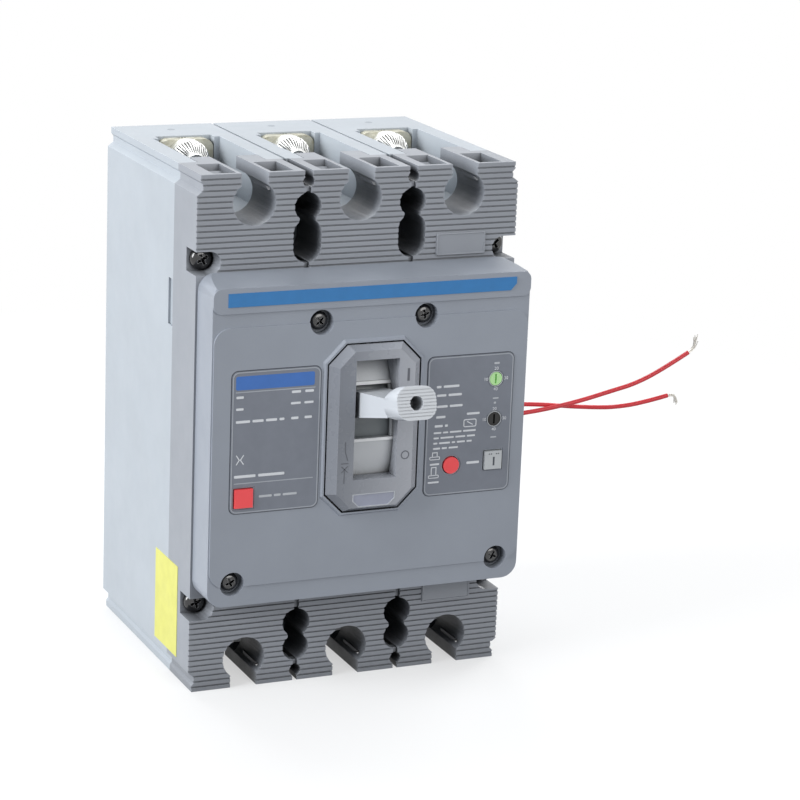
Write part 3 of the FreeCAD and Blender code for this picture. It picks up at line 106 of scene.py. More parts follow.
class Shader:
    """A node tree built by small steps around one Principled shader."""

    def __init__(self, name):
        self.material = bpy.data.materials.new(name)
        self.material.use_nodes = True
        self.tree = self.material.node_tree
        self.surface = self.tree.nodes["Principled BSDF"]
        self.place = self.add("ShaderNodeTexCoord").outputs["Object"]

    def add(self, kind, **settings):
        node = self.tree.nodes.new(kind)
        for key, value in settings.items():
            setattr(node, key, value)
        return node

    def link(self, output, target):
        self.tree.links.new(output, target)

    def feed(self, socket, item):
        """Links an output to a socket, or sets the socket to a plain value."""
        if hasattr(item, "is_output"):
            self.link(item, socket)
        else:
            socket.default_value = item

    def noise(self, scale, detail=3.0, rough=0.55, stretch=None):
        """Noise with about scale lumps to the metre, stretched along axes if asked."""
        node = self.add("ShaderNodeTexNoise")
        node.inputs["Scale"].default_value = scale
        node.inputs["Detail"].default_value = detail
        node.inputs["Roughness"].default_value = rough
        source = self.place
        if stretch:
            mapping = self.add("ShaderNodeMapping")
            mapping.inputs["Scale"].default_value = stretch
            self.link(source, mapping.inputs["Vector"])
            source = mapping.outputs["Vector"]
        self.link(source, node.inputs["Vector"])
        return node.outputs["Fac"]

    def ramp(self, value, low, high, dark, light):
        """Turns low..high into dark..light, held at both ends."""
        node = self.add("ShaderNodeMapRange")
        node.inputs["From Min"].default_value = low
        node.inputs["From Max"].default_value = high
        node.inputs["To Min"].default_value = dark
        node.inputs["To Max"].default_value = light
        self.link(value, node.inputs["Value"])
        return node.outputs["Result"]

    def blend(self, fac, first, second):
        """The first colour where fac is 0, the second where it is 1."""
        node = self.add("ShaderNodeMix", data_type="RGBA")
        self.link(fac, node.inputs["Factor"])
        self.feed(node.inputs[6], first)
        self.feed(node.inputs[7], second)
        return node.outputs[2]

    def vary(self, noise, low, high):
        """A value that drifts between low and high with a noise."""
        return self.ramp(noise, 0.3, 0.7, low, high)

    def cloud(self, noise, colour, dark, light):
        """A colour that drifts between two shades of itself with a noise."""
        return self.blend(self.vary(noise, 0.0, 1.0), shade(colour, dark), shade(colour, light))

    def openness(self, reach, deep, clear):
        """0 far down a hole or slot, 1 where the air around the surface is free."""
        node = self.add("ShaderNodeAmbientOcclusion", samples=6)
        node.inputs["Distance"].default_value = reach
        return self.ramp(node.outputs["AO"], deep, clear, 0.0, 1.0)

    def edge_highlight_mask(self, radius):
        """1 along sharp edges, 0 elsewhere."""
        soft = self.add("ShaderNodeBevel", samples=4)
        soft.inputs["Radius"].default_value = radius
        dot = self.add("ShaderNodeVectorMath", operation="DOT_PRODUCT")
        self.link(soft.outputs["Normal"], dot.inputs[0])
        self.link(self.add("ShaderNodeNewGeometry").outputs["Normal"], dot.inputs[1])
        return self.ramp(dot.outputs["Value"], 0.97, 0.72, 0.0, 1.0)

    def from_axis(self, y, z):
        """Distance from an axis along X, in metres."""
        shift = self.add("ShaderNodeVectorMath", operation="SUBTRACT")
        self.link(self.place, shift.inputs[0])
        shift.inputs[1].default_value = (0, y, z)
        flat = self.add("ShaderNodeVectorMath", operation="MULTIPLY")
        self.link(shift.outputs["Vector"], flat.inputs[0])
        flat.inputs[1].default_value = (0, 1, 1)
        length = self.add("ShaderNodeVectorMath", operation="LENGTH")
        self.link(flat.outputs["Vector"], length.inputs[0])
        return length.outputs["Value"]

    def value(self, operation, first, *numbers):
        """One step of arithmetic on outputs and plain numbers."""
        node = self.add("ShaderNodeMath", operation=operation)
        for socket, item in zip(node.inputs, (first, *numbers)):
            self.feed(socket, item)
        return node.outputs[0]

    def axes(self):
        """The place's X, Y and Z, in metres."""
        split = self.add("ShaderNodeSeparateXYZ")
        self.link(self.place, split.inputs["Vector"])
        return split.outputs

    def spokes(self, pitch, height, count):
        """0 along radial lines round each terminal screw's axis, 1 between them."""
        inner, outer, fade = 0.0036, 0.0066, 0.0002
        axes = self.axes()
        across = self.value("WRAP", axes["X"], pitch / 2, -pitch / 2)
        rise = self.value("SUBTRACT", self.value("ABSOLUTE", axes["Z"]), height)
        turn = self.value("MULTIPLY", self.value("ARCTAN2", rise, across), count)
        squares = [self.value("MULTIPLY", side, side) for side in (across, rise)]
        reach = self.value("SQRT", self.value("ADD", *squares))
        ring = self.value("MULTIPLY", self.ramp(reach, inner, inner + fade, 0.0, 1.0),
                          self.ramp(reach, outer, outer - fade, 0.0, 1.0))
        line = self.ramp(self.value("SINE", turn), 0.15, 0.65, 0.0, 1.0)
        return self.value("SUBTRACT", 1.0, self.value("MULTIPLY", line, ring))

    def bump(self, height, strength, distance, under=None):
        """A surface made uneven by a height, over another unevenness if given."""
        node = self.add("ShaderNodeBump")
        node.inputs["Strength"].default_value = strength
        node.inputs["Distance"].default_value = distance
        self.link(height, node.inputs["Height"])
        if under:
            self.link(under, node.inputs["Normal"])
        return node.outputs["Normal"]

    def finish(self, colour=None, roughness=None, normal=None, **plain):
        for name, item in (("Base Color", colour), ("Roughness", roughness), ("Normal", normal)):
            if item is not None:
                self.feed(self.surface.inputs[name], item)
        for key, value in plain.items():
            self.surface.inputs[key.replace("_", " ")].default_value = value
        return self.material


# -------------------------------------------------------------------------- materials

# Painted shade in hollows: how far to look, in metres, and the openness that is dark and that is clear.
PAINTED_HOLLOW_SHADE = (0.012, 0.05, 0.40)
TERMINAL_GROOVES = 40


def moulded(name, colour, roughness=0.46, grain=0.35, edge=1.22, mottle=0.04, painted_light=None,
            hollow_shade=PAINTED_HOLLOW_SHADE):
    """Spark-textured moulded plastic: fine grain, faint flow marks, edges painted lighter as a painted
    highlight, hollows painted darker as painted shade.
    """
    s = Shader(name)
    tone = s.cloud(s.noise(38, 4), colour, 1 - mottle, 1 + mottle)
    # Painted shade, highlight or reflection of one piece's own, if given.
    if painted_light:
        tone = painted_light(s, tone)
    # Painted highlight: sharp edges are painted lighter.
    tone = s.blend(s.edge_highlight_mask(0.00035), tone, shade(colour, edge))
    # Painted shade: hollows are painted near black.
    tone = s.blend(s.openness(*hollow_shade), shade(colour, 0.07), tone)
    fine = s.noise(2600, 2, 0.6)
    coarse = s.noise(620, 3, 0.5)
    normal = s.bump(coarse, grain * 0.5, 0.00006, s.bump(fine, grain, 0.00004))
    gloss = s.vary(s.noise(160, 3), roughness - 0.05, roughness + 0.06)
    return s.finish(tone, gloss, normal, Specular_IOR_Level=0.42)


def handle_arc_painted_shade(s, tone):
    """Painted shade: the arc behind the grip is painted darker than the grip itself."""
    past_arc = s.ramp(s.from_axis(*PIVOT), 0.0376, 0.0382, 0.0, 1.0)
    return s.blend(past_arc, linear(118, 124, 127), tone)


def shutter_lip_painted_highlight(s, tone):
    """Painted highlight: the two lips of the shutter are painted bright."""
    on_lip = s.ramp(s.from_axis(*PIVOT), 0.03945, 0.03960, 0.0, 1.0)
    return s.blend(on_lip, tone, linear(250, 251, 252))


def rim_painted_reflection(s, _tone):
    """A painted reflection, darker on the left and lighter on the right, takes the place of the
    escutcheon's plain tone.
    """
    across = s.ramp(s.axes()["X"], -0.013, 0.013, 0.0, 1.0)
    return s.blend(across, linear(128, 132, 140), linear(174, 177, 184))


def printed(name, colour, roughness=0.5):
    """A thin printed film: even colour with slight print and surface unevenness."""
    s = Shader(name)
    uneven = s.ramp(s.noise(220, 4), 0.35, 0.65, 0.0, 1.0)
    tone = s.blend(uneven, shade(colour, 0.965), shade(colour, 1.035))
    gloss = s.vary(s.noise(90), roughness - 0.06, roughness + 0.06)
    return s.finish(tone, gloss, s.bump(s.noise(1500, 2), 0.18, 0.00003))


def metal(name, colour, roughness, brush=(1, 1, 1), stain=0.0, stain_colour=None, groove_shade=None):
    """Plated or bare metal with fine brushing, with stains if asked, and with painted shade along
    radial grooves if asked.
    """
    s = Shader(name)
    streaks = s.noise(1400, 3, 0.6, brush)
    tone = s.cloud(streaks, colour, 0.88, 1.08)
    if stain:
        tone = s.blend(s.ramp(s.noise(420, 4), 0.48, 0.66, 0.0, stain), tone, stain_colour)
    # Painted shade along the radial grooves of the terminal screws' flanges.
    if groove_shade:
        tone = s.blend(s.spokes(POLES[2] * MM, TERMINAL_Z * MM, TERMINAL_GROOVES), groove_shade, tone)
    gloss = s.vary(s.noise(300, 4), roughness - 0.08, roughness + 0.12)
    return s.finish(tone, gloss, s.bump(streaks, 0.25, 0.00004), Metallic=1.0)


def glossy(name, colour, roughness, lumps=0.08):
    """Smooth glossy plastic or paint with a faint orange-peel ripple."""
    s = Shader(name)
    tone = s.cloud(s.noise(120, 3), colour, 0.95, 1.05)
    gloss = s.vary(s.noise(200), roughness - 0.04, roughness + 0.06)
    return s.finish(tone, gloss, s.bump(s.noise(900, 2), lumps, 0.00005))


def worn_and_highlit_black(name, colour):
    """Black oxide on a screw, its edges painted bright: partly wear where the driver and the hand meet
    it, partly a painted highlight for the glints on it.
    """
    s = Shader(name)
    # Painted highlight, and wear: the edges are painted near white.
    tone = s.blend(s.edge_highlight_mask(0.00016), s.cloud(s.noise(300, 3), colour, 0.8, 1.3), linear(205, 206, 208))
    gloss = s.vary(s.noise(500), 0.09, 0.18)
    normal = s.bump(s.noise(1400, 3), 0.10, 0.00004)
    return s.finish(tone, gloss, normal, Specular_IOR_Level=0.9)


LOOKS = {
    "base": moulded("moulded_pale_grey", linear(176, 183, 190), 0.42, 0.28, 1.18),
    "cover": moulded("moulded_cover_grey", linear(150, 154, 161), 0.46, hollow_shade=(0.020, 0.12, 0.62)),
    "front": moulded("moulded_front_grey", linear(152, 158, 168), 0.40, 0.30, 1.16),
    "rim": moulded("moulded_rim_grey", linear(140, 143, 151), 0.27, 0.22, 1.25, 0.02, rim_painted_reflection),
    # Painted shade: the raised switch marks are painted darker than the rim.
    "rim_mark": moulded("moulded_rim_mark", linear(96, 99, 106), 0.35, 0.2),
    "handle": moulded("moulded_handle", linear(204, 208, 213), 0.34, 0.16, 1.12, 0.015, handle_arc_painted_shade,
                      (0.008, 0.02, 0.30)),
    "shutter": moulded("moulded_shutter", linear(210, 213, 216), 0.40, 0.16, 1.06, 0.02, shutter_lip_painted_highlight,
                       (0.012, 0.02, 0.26)),
    "label": printed("printed_grey", linear(122, 127, 137)),
    # Pale lines: printed rules, and painted highlights on the labels' raised edges.
    "frame_line": printed("pale_print_and_painted_highlight", linear(168, 173, 180), 0.45),
    # Dark lines: painted shadows round the labels and the collar, painted shade in the test button's
    # slot.
    "dark_line": printed("painted_shade_line", linear(66, 70, 78), 0.6),
    "header": printed("printed_header_blue", linear(62, 112, 186), 0.42),
    "stripe": printed("printed_stripe_blue", linear(48, 121, 182), 0.40),
    "ink": printed("printed_white", linear(222, 225, 229), 0.5),
    "faint_ink": printed("printed_pale_grey", linear(190, 194, 199), 0.5),
    "plate": printed("printed_rating_plate", linear(156, 160, 176), 0.42),
    "sticker": printed("paper_yellow", linear(218, 216, 118), 0.55),
    "red": glossy("button_red_plastic", linear(255, 84, 88), 0.30),
    "light": glossy("button_grey_plastic", linear(196, 200, 202), 0.36),
    "green": glossy("dial_green_plastic", linear(190, 238, 168), 0.34),
    "black": glossy("dial_black_plastic", linear(7, 7, 8), 0.3),
    "oxide": worn_and_highlit_black("screw_black", linear(16, 16, 18)),
    "tin": metal("tin_plate", linear(184, 183, 170), 0.50, (1, 1, 2), 0.55, linear(150, 146, 122)),
    "zinc": metal("zinc_plate", linear(226, 227, 225), 0.34, (1, 4, 1), groove_shade=linear(46, 46, 45)),
    "steel": metal("pressed_steel", linear(170, 173, 178), 0.35, (1, 1, 5)),
    "copper": metal("bare_copper", linear(205, 130, 90), 0.30, (1, 1, 4), 0.3, linear(120, 62, 40)),
    "silver": metal("contact_silver", linear(225, 225, 220), 0.3),
    "core": metal("ribbon_core", linear(92, 94, 100), 0.45, (1, 1, 8)),
    "inner": moulded("moulded_black", linear(38, 38, 41), 0.5, 0.3, 1.3),
    "board": printed("board_green", linear(40, 110, 62), 0.35),
    "rubber": moulded("soft_black_rubber", linear(34, 34, 36), 0.65, 0.3, 1.2),
    "insulation": glossy("wire_red_insulation", linear(222, 44, 56), 0.34, 0.2),
    "strand": metal("tinned_strand", linear(206, 203, 197), 0.36),
    # Painted shade: the gate marks are painted darker than the base, for their dimples.
    "gate": moulded("gate_dimple_painted_shade", linear(150, 158, 166), 0.42, 0.28, 1.1),
    # Painted shade: a near-black sheet where a hole is dark.
    "shadow_gap": glossy("painted_hole_shade", linear(12, 12, 13), 0.8, 0.02),
}

CAD_LOOKS = {
    "base_housing": "base", "main_cover": "cover", "front_cover": "front", "escutcheon": "rim",
    "toggle_handle": "handle", "handle_shutter": "shutter", "rating_label": "label",
    "setting_label": "label", "accent_stripe": "stripe", "side_sticker": "sticker",
    "trip_button": "red", "indicator_button": "red", "test_button": "light",
    "sensitivity_dial": "green", "delay_dial": "black", "main_cover_screws": "oxide",
    "front_cover_screws": "oxide", "terminal_screws": "zinc", "terminal_washers": "zinc",
    "terminal_nuts": "zinc", "fixed_contact_tips": "silver", "moving_contact_tips": "silver",
    "crossbar": "inner", "trip_bar": "inner", "sensor_core": "core", "sensor_winding": "copper",
    "leakage_board": "board", "release_coil": "copper", "wire_grommet": "rubber",
    "lead_wire_upper": "insulation", "lead_wire_lower": "insulation", "bare_conductors": "strand",
}
# Widths of the softened edges of the visible mouldings, in millimetres.
EDGES = {"base_housing": 0.25, "main_cover": 0.18, "front_cover": 0.25, "escutcheon": 0.35,
         "toggle_handle": 0.3, "test_button": 0.25, "trip_button": 0.25, "wire_grommet": 0.3}


def cad_look(name):
    """The look of a CAD node: its own, or the one that its kind of piece has."""
    if name in CAD_LOOKS:
        return CAD_LOOKS[name]
    if "_terminal_" in name:
        return "tin"
    if name.startswith("contact_arm"):
        return "copper"
    return "steel"


def dress_cad_nodes():
    """Gives every CAD node its material, and the visible mouldings softened edges."""
    for name, node in NODES.items():
        node.data.materials.clear()
        node.data.materials.append(LOOKS[cad_look(name)])
        if name in EDGES:
            weld = node.modifiers.new("weld", "WELD")
            weld.merge_threshold = 0.000002
            soften(node, EDGES[name]).harden_normals = True


def soften(thing, width):
    """Rounds the sharp edges of a piece, by a width in millimetres."""
    bevel = thing.modifiers.new("soft_edges", "BEVEL")
    bevel.width = width * MM
    bevel.segments = 2
    bevel.limit_method = "ANGLE"
    bevel.angle_limit = math.radians(38)
    return bevel


def piece(name, data, look, body="case"):
    """A finished mesh or curve as a named piece that rides on a body."""
    thing = bpy.data.objects.new(name, data)
    bpy.context.scene.collection.objects.link(thing)
    data.materials.append(LOOKS[look])
    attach(thing, body)
    return thing


def mesh_from(name, form, crease=None):
    """Ends a form as a mesh, flat-shaded, or smooth but for edges sharper than crease degrees."""
    mesh = bpy.data.meshes.new(name)
    bmesh.ops.recalc_face_normals(form, faces=form.faces)
    form.to_mesh(mesh)
    form.free()
    if crease:
        mesh.polygons.foreach_set("use_smooth", [True] * len(mesh.polygons))
        mesh.set_sharp_from_angle(angle=math.radians(crease))
    return mesh


def circle(x, z, radius, steps):
    """The outline of a circle, in millimetres."""
    turn = math.tau / steps
    return [(x + radius * math.cos(turn * i), z + radius * math.sin(turn * i)) for i in range(steps)]


def rounded(left, right, low, high, radius, steps=5):
    """The outline of a rounded rectangle in the X Z plane, in millimetres."""
    corners = [(right - radius, high - radius, 0), (left + radius, high - radius, 90),
               (left + radius, low + radius, 180), (right - radius, low + radius, 270)]
    outline = []
    for x, z, start in corners:
        for step in range(steps + 1):
            angle = math.radians(start + 90 * step / steps)
            outline.append((x + radius * math.cos(angle), z + radius * math.sin(angle)))
    return outline


def plate(form, outline, front, back):
    """A flat plate facing the front, from an outline in millimetres."""
    near = [form.verts.new((x * MM, front * MM, z * MM)) for x, z in outline]
    far = [form.verts.new((x * MM, back * MM, z * MM)) for x, z in outline]
    form.faces.new(near)
    form.faces.new(far[::-1])
    for i in range(len(outline)):
        form.faces.new((near[i - 1], near[i], far[i], far[i - 1]))


def ribbon(form, points, width, front, back, closed=False):
    """A line of even width along points, mitred at its corners."""
    count = len(points)
    sides = []
    for i, (x, z) in enumerate(points):
        before = points[i - 1] if i or closed else None
        after = points[(i + 1) % count] if i < count - 1 or closed else None
        ways = []
        for start, end in ((before, (x, z)), ((x, z), after)):
            if start and end:
                way = Vector((end[0] - start[0], end[1] - start[1])).normalized()
                ways.append(Vector((-way.y, way.x)))
        normal = sum(ways, Vector((0, 0))).normalized()
        reach = width / 2 / max(0.4, normal.dot(ways[0]))
        sides.append([(x + normal.x * reach * s, z + normal.y * reach * s) for s in (1, -1)])
    rows = [[form.verts.new((x * MM, y * MM, z * MM)) for y in (front, back) for x, z in pair]
            for pair in sides]
    for i in range(count if closed else count - 1):
        a, b = rows[i], rows[(i + 1) % count]
        for first, second in ((0, 1), (1, 3), (3, 2), (2, 0)):
            form.faces.new((a[first], a[second], b[second], b[first]))
    if not closed:
        for row in (rows[0], rows[-1]):
            form.faces.new((row[0], row[1], row[3], row[2]))


def lathe(form, profile, x, z, steps, wave=None):
    """A turned shape about an axis along Y: its profile is (radius, y), front to back."""
    rings = []
    for radius, y in profile:
        if radius == 0:
            rings.append([form.verts.new((x * MM, y * MM, z * MM))])
            continue
        ring = []
        for i in range(steps):
            angle = math.tau * i / steps
            r, depth = wave(radius, y, i) if wave else (radius, y)
            ring.append(form.verts.new(((x + r * math.cos(angle)) * MM, depth * MM,
                                        (z + r * math.sin(angle)) * MM)))
        rings.append(ring)
    for first, second in zip(rings, rings[1:]):
        for i in range(steps):
            corners = [ring[j % len(ring)] for ring, j in
                       ((first, i), (first, i + 1), (second, i + 1), (second, i))]
            form.faces.new(list(dict.fromkeys(corners)))


def carved(blank, cutter):
    """The blank mesh with the cutter mesh taken out of it."""
    objects = [bpy.data.objects.new(mesh.name, mesh) for mesh in (blank, cutter)]
    for thing in objects:
        bpy.context.scene.collection.objects.link(thing)
    cut = objects[0].modifiers.new("cut", "BOOLEAN")
    cut.operation = "DIFFERENCE"
    cut.solver = "EXACT"
    cut.object = objects[1]
    graph = bpy.context.evaluated_depsgraph_get()
    mesh = bpy.data.meshes.new_from_object(objects[0].evaluated_get(graph))
    for thing in objects:
        bpy.data.objects.remove(thing)
    return mesh


def add_mesh(form, mesh, matrix):
    """Adds a copy of a mesh to a form, moved by a matrix."""
    before = len(form.verts)
    form.from_mesh(mesh)
    form.verts.ensure_lookup_table()
    bmesh.ops.transform(form, matrix=matrix, verts=form.verts[before:])


# ----------------------------------------------------------------------------- stage


# Each lamp's name, place and width in metres, power in watts and colour.
LAMPS = (
    ("key", (-1.30, -0.20, 0.55), 0.9, 22.2, (0.97, 0.985, 1.0)),
    ("front", (0.30, -1.35, 0.50), 0.9, 7.0, (1.0, 0.99, 0.98)),
    ("top", (0.0, 0.62, 1.00), 0.7, 5.6, (1.0, 1.0, 1.0)),
    ("rear", (1.20, 0.85, 0.50), 0.9, 14.0, (1.0, 1.0, 1.0)),
)
LAMPS_AIM = (0, -0.05, 0)
CAMERA_PLACE = (-0.33772, -0.86541, 0.23970)
CAMERA_LENS = 126.4


def seen_directly(tree):
    """1 for what the camera or a reflection sees, 0 for the light that falls on the case."""
    rays = tree.nodes.new("ShaderNodeLightPath")
    either = tree.nodes.new("ShaderNodeMath")
    either.operation = "MAXIMUM"
    tree.links.new(rays.outputs["Is Camera Ray"], either.inputs[0])
    tree.links.new(rays.outputs["Is Glossy Ray"], either.inputs[1])
    return either.outputs[0]


def make_stage():
    """A pale floor that fades to the white backdrop, and soft lamps."""
    low = CAD_BOX[0][2]
    bpy.ops.mesh.primitive_plane_add(size=6.0, location=(0, 0, low))
    floor = bpy.context.object
    floor.name = "floor"
    s = Shader("pale_floor")
    s.finish(None, 0.9, None, Specular_IOR_Level=0.1)
    glow = s.add("ShaderNodeEmission")
    glow.inputs["Color"].default_value = (1, 1, 1, 1)
    seen = seen_directly(s.tree)
    pale = s.blend(seen, linear(104, 106, 110), linear(244, 245, 246))
    s.link(pale, s.surface.inputs["Base Color"])
    distance = s.add("ShaderNodeVectorMath", operation="LENGTH")
    s.link(s.place, distance.inputs[0])
    far = s.ramp(distance.outputs["Value"], 0.10, 0.42, 0.55, 1.0)
    mix = s.add("ShaderNodeMixShader")
    s.link(s.value("MULTIPLY", seen, far), mix.inputs["Fac"])
    s.link(s.surface.outputs["BSDF"], mix.inputs[1])
    s.link(glow.outputs["Emission"], mix.inputs[2])
    s.link(mix.outputs["Shader"], s.tree.nodes["Material Output"].inputs["Surface"])
    floor.data.materials.append(s.material)

    world = bpy.data.worlds.new("studio")
    bpy.context.scene.world = world
    world.use_nodes = True
    tree = world.node_tree
    back = tree.nodes["Background"]
    back.inputs["Color"].default_value = (0.94, 0.97, 1.0, 1)
    back.inputs["Strength"].default_value = 0.42
    white = tree.nodes.new("ShaderNodeBackground")
    white.inputs["Color"].default_value = (1, 1, 1, 1)
    blend = tree.nodes.new("ShaderNodeMixShader")
    tree.links.new(seen_directly(tree), blend.inputs["Fac"])
    tree.links.new(back.outputs["Background"], blend.inputs[1])
    tree.links.new(white.outputs["Background"], blend.inputs[2])
    tree.links.new(blend.outputs["Shader"], tree.nodes["World Output"].inputs["Surface"])

    for row in LAMPS:
        lamp(*row)


def lamp(name, place, size, power, colour):
    """A round soft lamp that is turned to the case."""
    data = bpy.data.lights.new(name, "AREA")
    data.shape = "DISK"
    data.size = size
    data.energy = power
    data.color = colour
    light = bpy.data.objects.new(name, data)
    light.location = place
    aim = Vector(LAMPS_AIM) - Vector(place)
    light.rotation_euler = aim.to_track_quat("-Z", "Y").to_euler()
    bpy.context.scene.collection.objects.link(light)


def make_camera():
    """The view from left of the front, a little above, with a slight roll."""
    azimuth, elevation, roll = math.radians(-24.39), math.radians(15.17), math.radians(-2.24)
    back = Vector((math.sin(azimuth) * math.cos(elevation),
                   -math.cos(azimuth) * math.cos(elevation), math.sin(elevation)))
    right = Vector((math.cos(azimuth), math.sin(azimuth), 0))
    up = back.cross(right)
    turned_right = right * math.cos(roll) - up * math.sin(roll)
    turned_up = right * math.sin(roll) + up * math.cos(roll)
    data = bpy.data.cameras.new("camera")
    data.sensor_width = 36
    data.lens = CAMERA_LENS
    camera = bpy.data.objects.new("camera", data)
    turn = Matrix((turned_right, turned_up, back)).transposed().to_4x4()
    camera.matrix_world = Matrix.Translation(CAMERA_PLACE) @ turn
    bpy.context.scene.collection.objects.link(camera)
    bpy.context.scene.camera = camera


# ----------------------------------------------------------------------------- leads

# Control points of the leads, from the case's wall out, in millimetres.
UPPER_LEAD = [
    (54.3, -63.4, -7.6), (64.0, -63.3, -7.3), (74.0, -63.0, -6.9), (84.0, -62.9, -5.8),
    (94.0, -62.7, -4.2), (104.0, -62.4, -2.1), (113.6, -62.1, -0.2), (124.0, -61.7, 4.0),
    (133.6, -61.4, 9.1),
]
LOWER_LEAD = [
    (54.3, -61.2, -4.4), (63.0, -61.1, -4.1), (72.0, -61.2, -4.5), (81.0, -61.2, -5.4),
    (89.0, -61.0, -6.6), (97.2, -60.8, -7.6), (106.3, -60.6, -8.4), (117.0, -60.4, -7.8),
    (127.2, -60.2, -5.9),
]
# Each lead's route and length, in millimetres.
LEADS = {"lead_wire_upper": (UPPER_LEAD, 82.0), "lead_wire_lower": (LOWER_LEAD, 73.3)}
WIRE_RADIUS = 0.75
# Each bare end's route, and how far its strands fan out, in millimetres.
BARE_ENDS = [
    ([(133.2, -61.42, 8.9), (135.5, -61.32, 10.11), (136.4, -61.25, 12.2), (136.7, -61.2, 14.2)], 1.1),
    ([(126.8, -60.21, -5.97), (129.2, -60.16, -5.53), (130.6, -60.1, -6.9), (130.9, -60.1, -8.7)], 0.5),
]
STRANDS = 7
STRAND_RADIUS = 0.16
STRAND_SPACING = 0.36


def cord_curve(name, radius, facets, steps):
    """An empty curve whose routes come out as round cords with capped ends."""
    data = bpy.data.curves.new(name, "CURVE")
    data.dimensions = "3D"
    data.bevel_depth = radius * MM
    data.bevel_resolution = facets
    data.resolution_u = steps
    data.use_fill_caps = True
    return data


def add_route(data, points):
    """Adds a smooth route whose control points are in millimetres."""
    spline = data.splines.new("NURBS")
    spline.points.add(len(points) - 1)
    for target, point in zip(spline.points, points):
        target.co = (*[c * MM for c in point], 1)
    spline.order_u = 3
    spline.use_endpoint_u = True


def make_leads():
    """Two insulated leads with the strands of their bare ends."""
    strands = make_strands()
    for name, (route, length) in LEADS.items():
        curve = cord_curve(f"{name}_cord", WIRE_RADIUS, 6, 10)
        add_route(curve, route)
        cord = piece(f"{name}_cord", curve, "insulation")
        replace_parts(cord, name)


def make_strands():
    """The bare ends: one strand in the middle, the others round it, fanning out at the tip."""
    bundle = cord_curve("bare_strands", STRAND_RADIUS, 3, 8)
    for path, fan in BARE_ENDS:
        for number in range(STRANDS):
            angle = math.tau * number / (STRANDS - 1)
            out = 0.0 if number == STRANDS - 1 else STRAND_SPACING
            spread = [random.uniform(-1, 1) for _ in range(3)]
            route = []
            for step, point in enumerate(path):
                share = (step / (len(path) - 1)) ** 2 * fan
                offset = (share * spread[0] - out * math.sin(angle) * 0.4,
                          out * math.cos(angle) + share * spread[1],
                          out * math.sin(angle) + share * spread[2])
                route.append([c + d for c, d in zip(point, offset)])
            add_route(bundle, route)
    strands = piece("bare_strands", bundle, "strand")
    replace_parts(strands, "bare_conductors")
    return strands


# ---------------------------------------------------------------------------- screws


def phillips(radius, height, shank, length):
    """A pan-head screw with a cross recess: seat at the origin, head towards the front."""
    form = bmesh.new()
    dome = [(0, -height), (0.45, -height * 0.99), (0.72, -height * 0.94), (0.88, -height * 0.80),
            (0.97, -height * 0.58), (1.0, -height * 0.35), (1.0, 0)]
    profile = [(radius * r, y) for r, y in dome] + [(shank, 0), (shank, length), (0, length)]
    lathe(form, profile, 0, 0, 40)
    blank = mesh_from("pan_head", form)
    return carved(blank, mesh_from("cross_cutter", cross_cutter(radius, height)))


def cross_cutter(radius, height):
    """A cross that narrows with depth, from above a screw's head to its recess's floor."""
    form = bmesh.new()
    loops = []
    for long, wide, depth in ((0.60, 0.15, -height - 0.4), (0.24, 0.09, -height * 0.25)):
        half = [(long, -wide), (long, wide), (wide, wide), (wide, long), (-wide, long), (-wide, wide)]
        outline = half + [(-x, -z) for x, z in half]
        loops.append([form.verts.new((x * radius * MM, depth * MM, z * radius * MM))
                      for x, z in outline])
    near, far = loops
    form.faces.new(near)
    form.faces.new(far[::-1])
    for i in range(len(near)):
        form.faces.new((near[i - 1], near[i], far[i], far[i - 1]))
    return form


def make_case_screws():
    """The black screws of the main cover's corners and of the front cover."""
    for node, name, spots, size, height, shank in (
            ("main_cover_screws", "corner_pan_screws", CORNER_SPOTS, 3.5, 2.6, 1.8),
            ("front_cover_screws", "front_pan_screws", FRONT_SPOTS, 2.9, 2.2, 1.6)):
        low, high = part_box(node)
        front = low.y / MM
        screw = phillips(size, height, shank, high.y / MM - front - height)
        form = bmesh.new()
        for x, z in spots:
            turn = Matrix.Rotation(random.uniform(0, math.pi / 2), 4, "Y")
            seat = Matrix.Translation((x * MM, (front + height) * MM, z * MM))
            add_mesh(form, screw, seat @ turn)
        thing = piece(name, mesh_from(name, form, 32), "oxide")
        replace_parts(thing, node)


SOCKET_RADIUS = 2.65
SOCKET_RIM = 2.75
SOCKET_FLOOR = -29.0
# The flange's ridges: where they start and end, how many points go round, and their lift.
RIDGE_INNER, RIDGE_OUTER = 3.3, 6.6
RIDGE_POINTS = 160
RIDGE_LIFT = (0.09, 0.0, 0.09, 0.18)


def ridges(radius, y, i):
    """Raises a point of the conical flange where a ridge passes."""
    if RIDGE_INNER < radius < RIDGE_OUTER:
        lift = RIDGE_LIFT[i % 4]
        return radius + lift, y - lift
    return radius, y


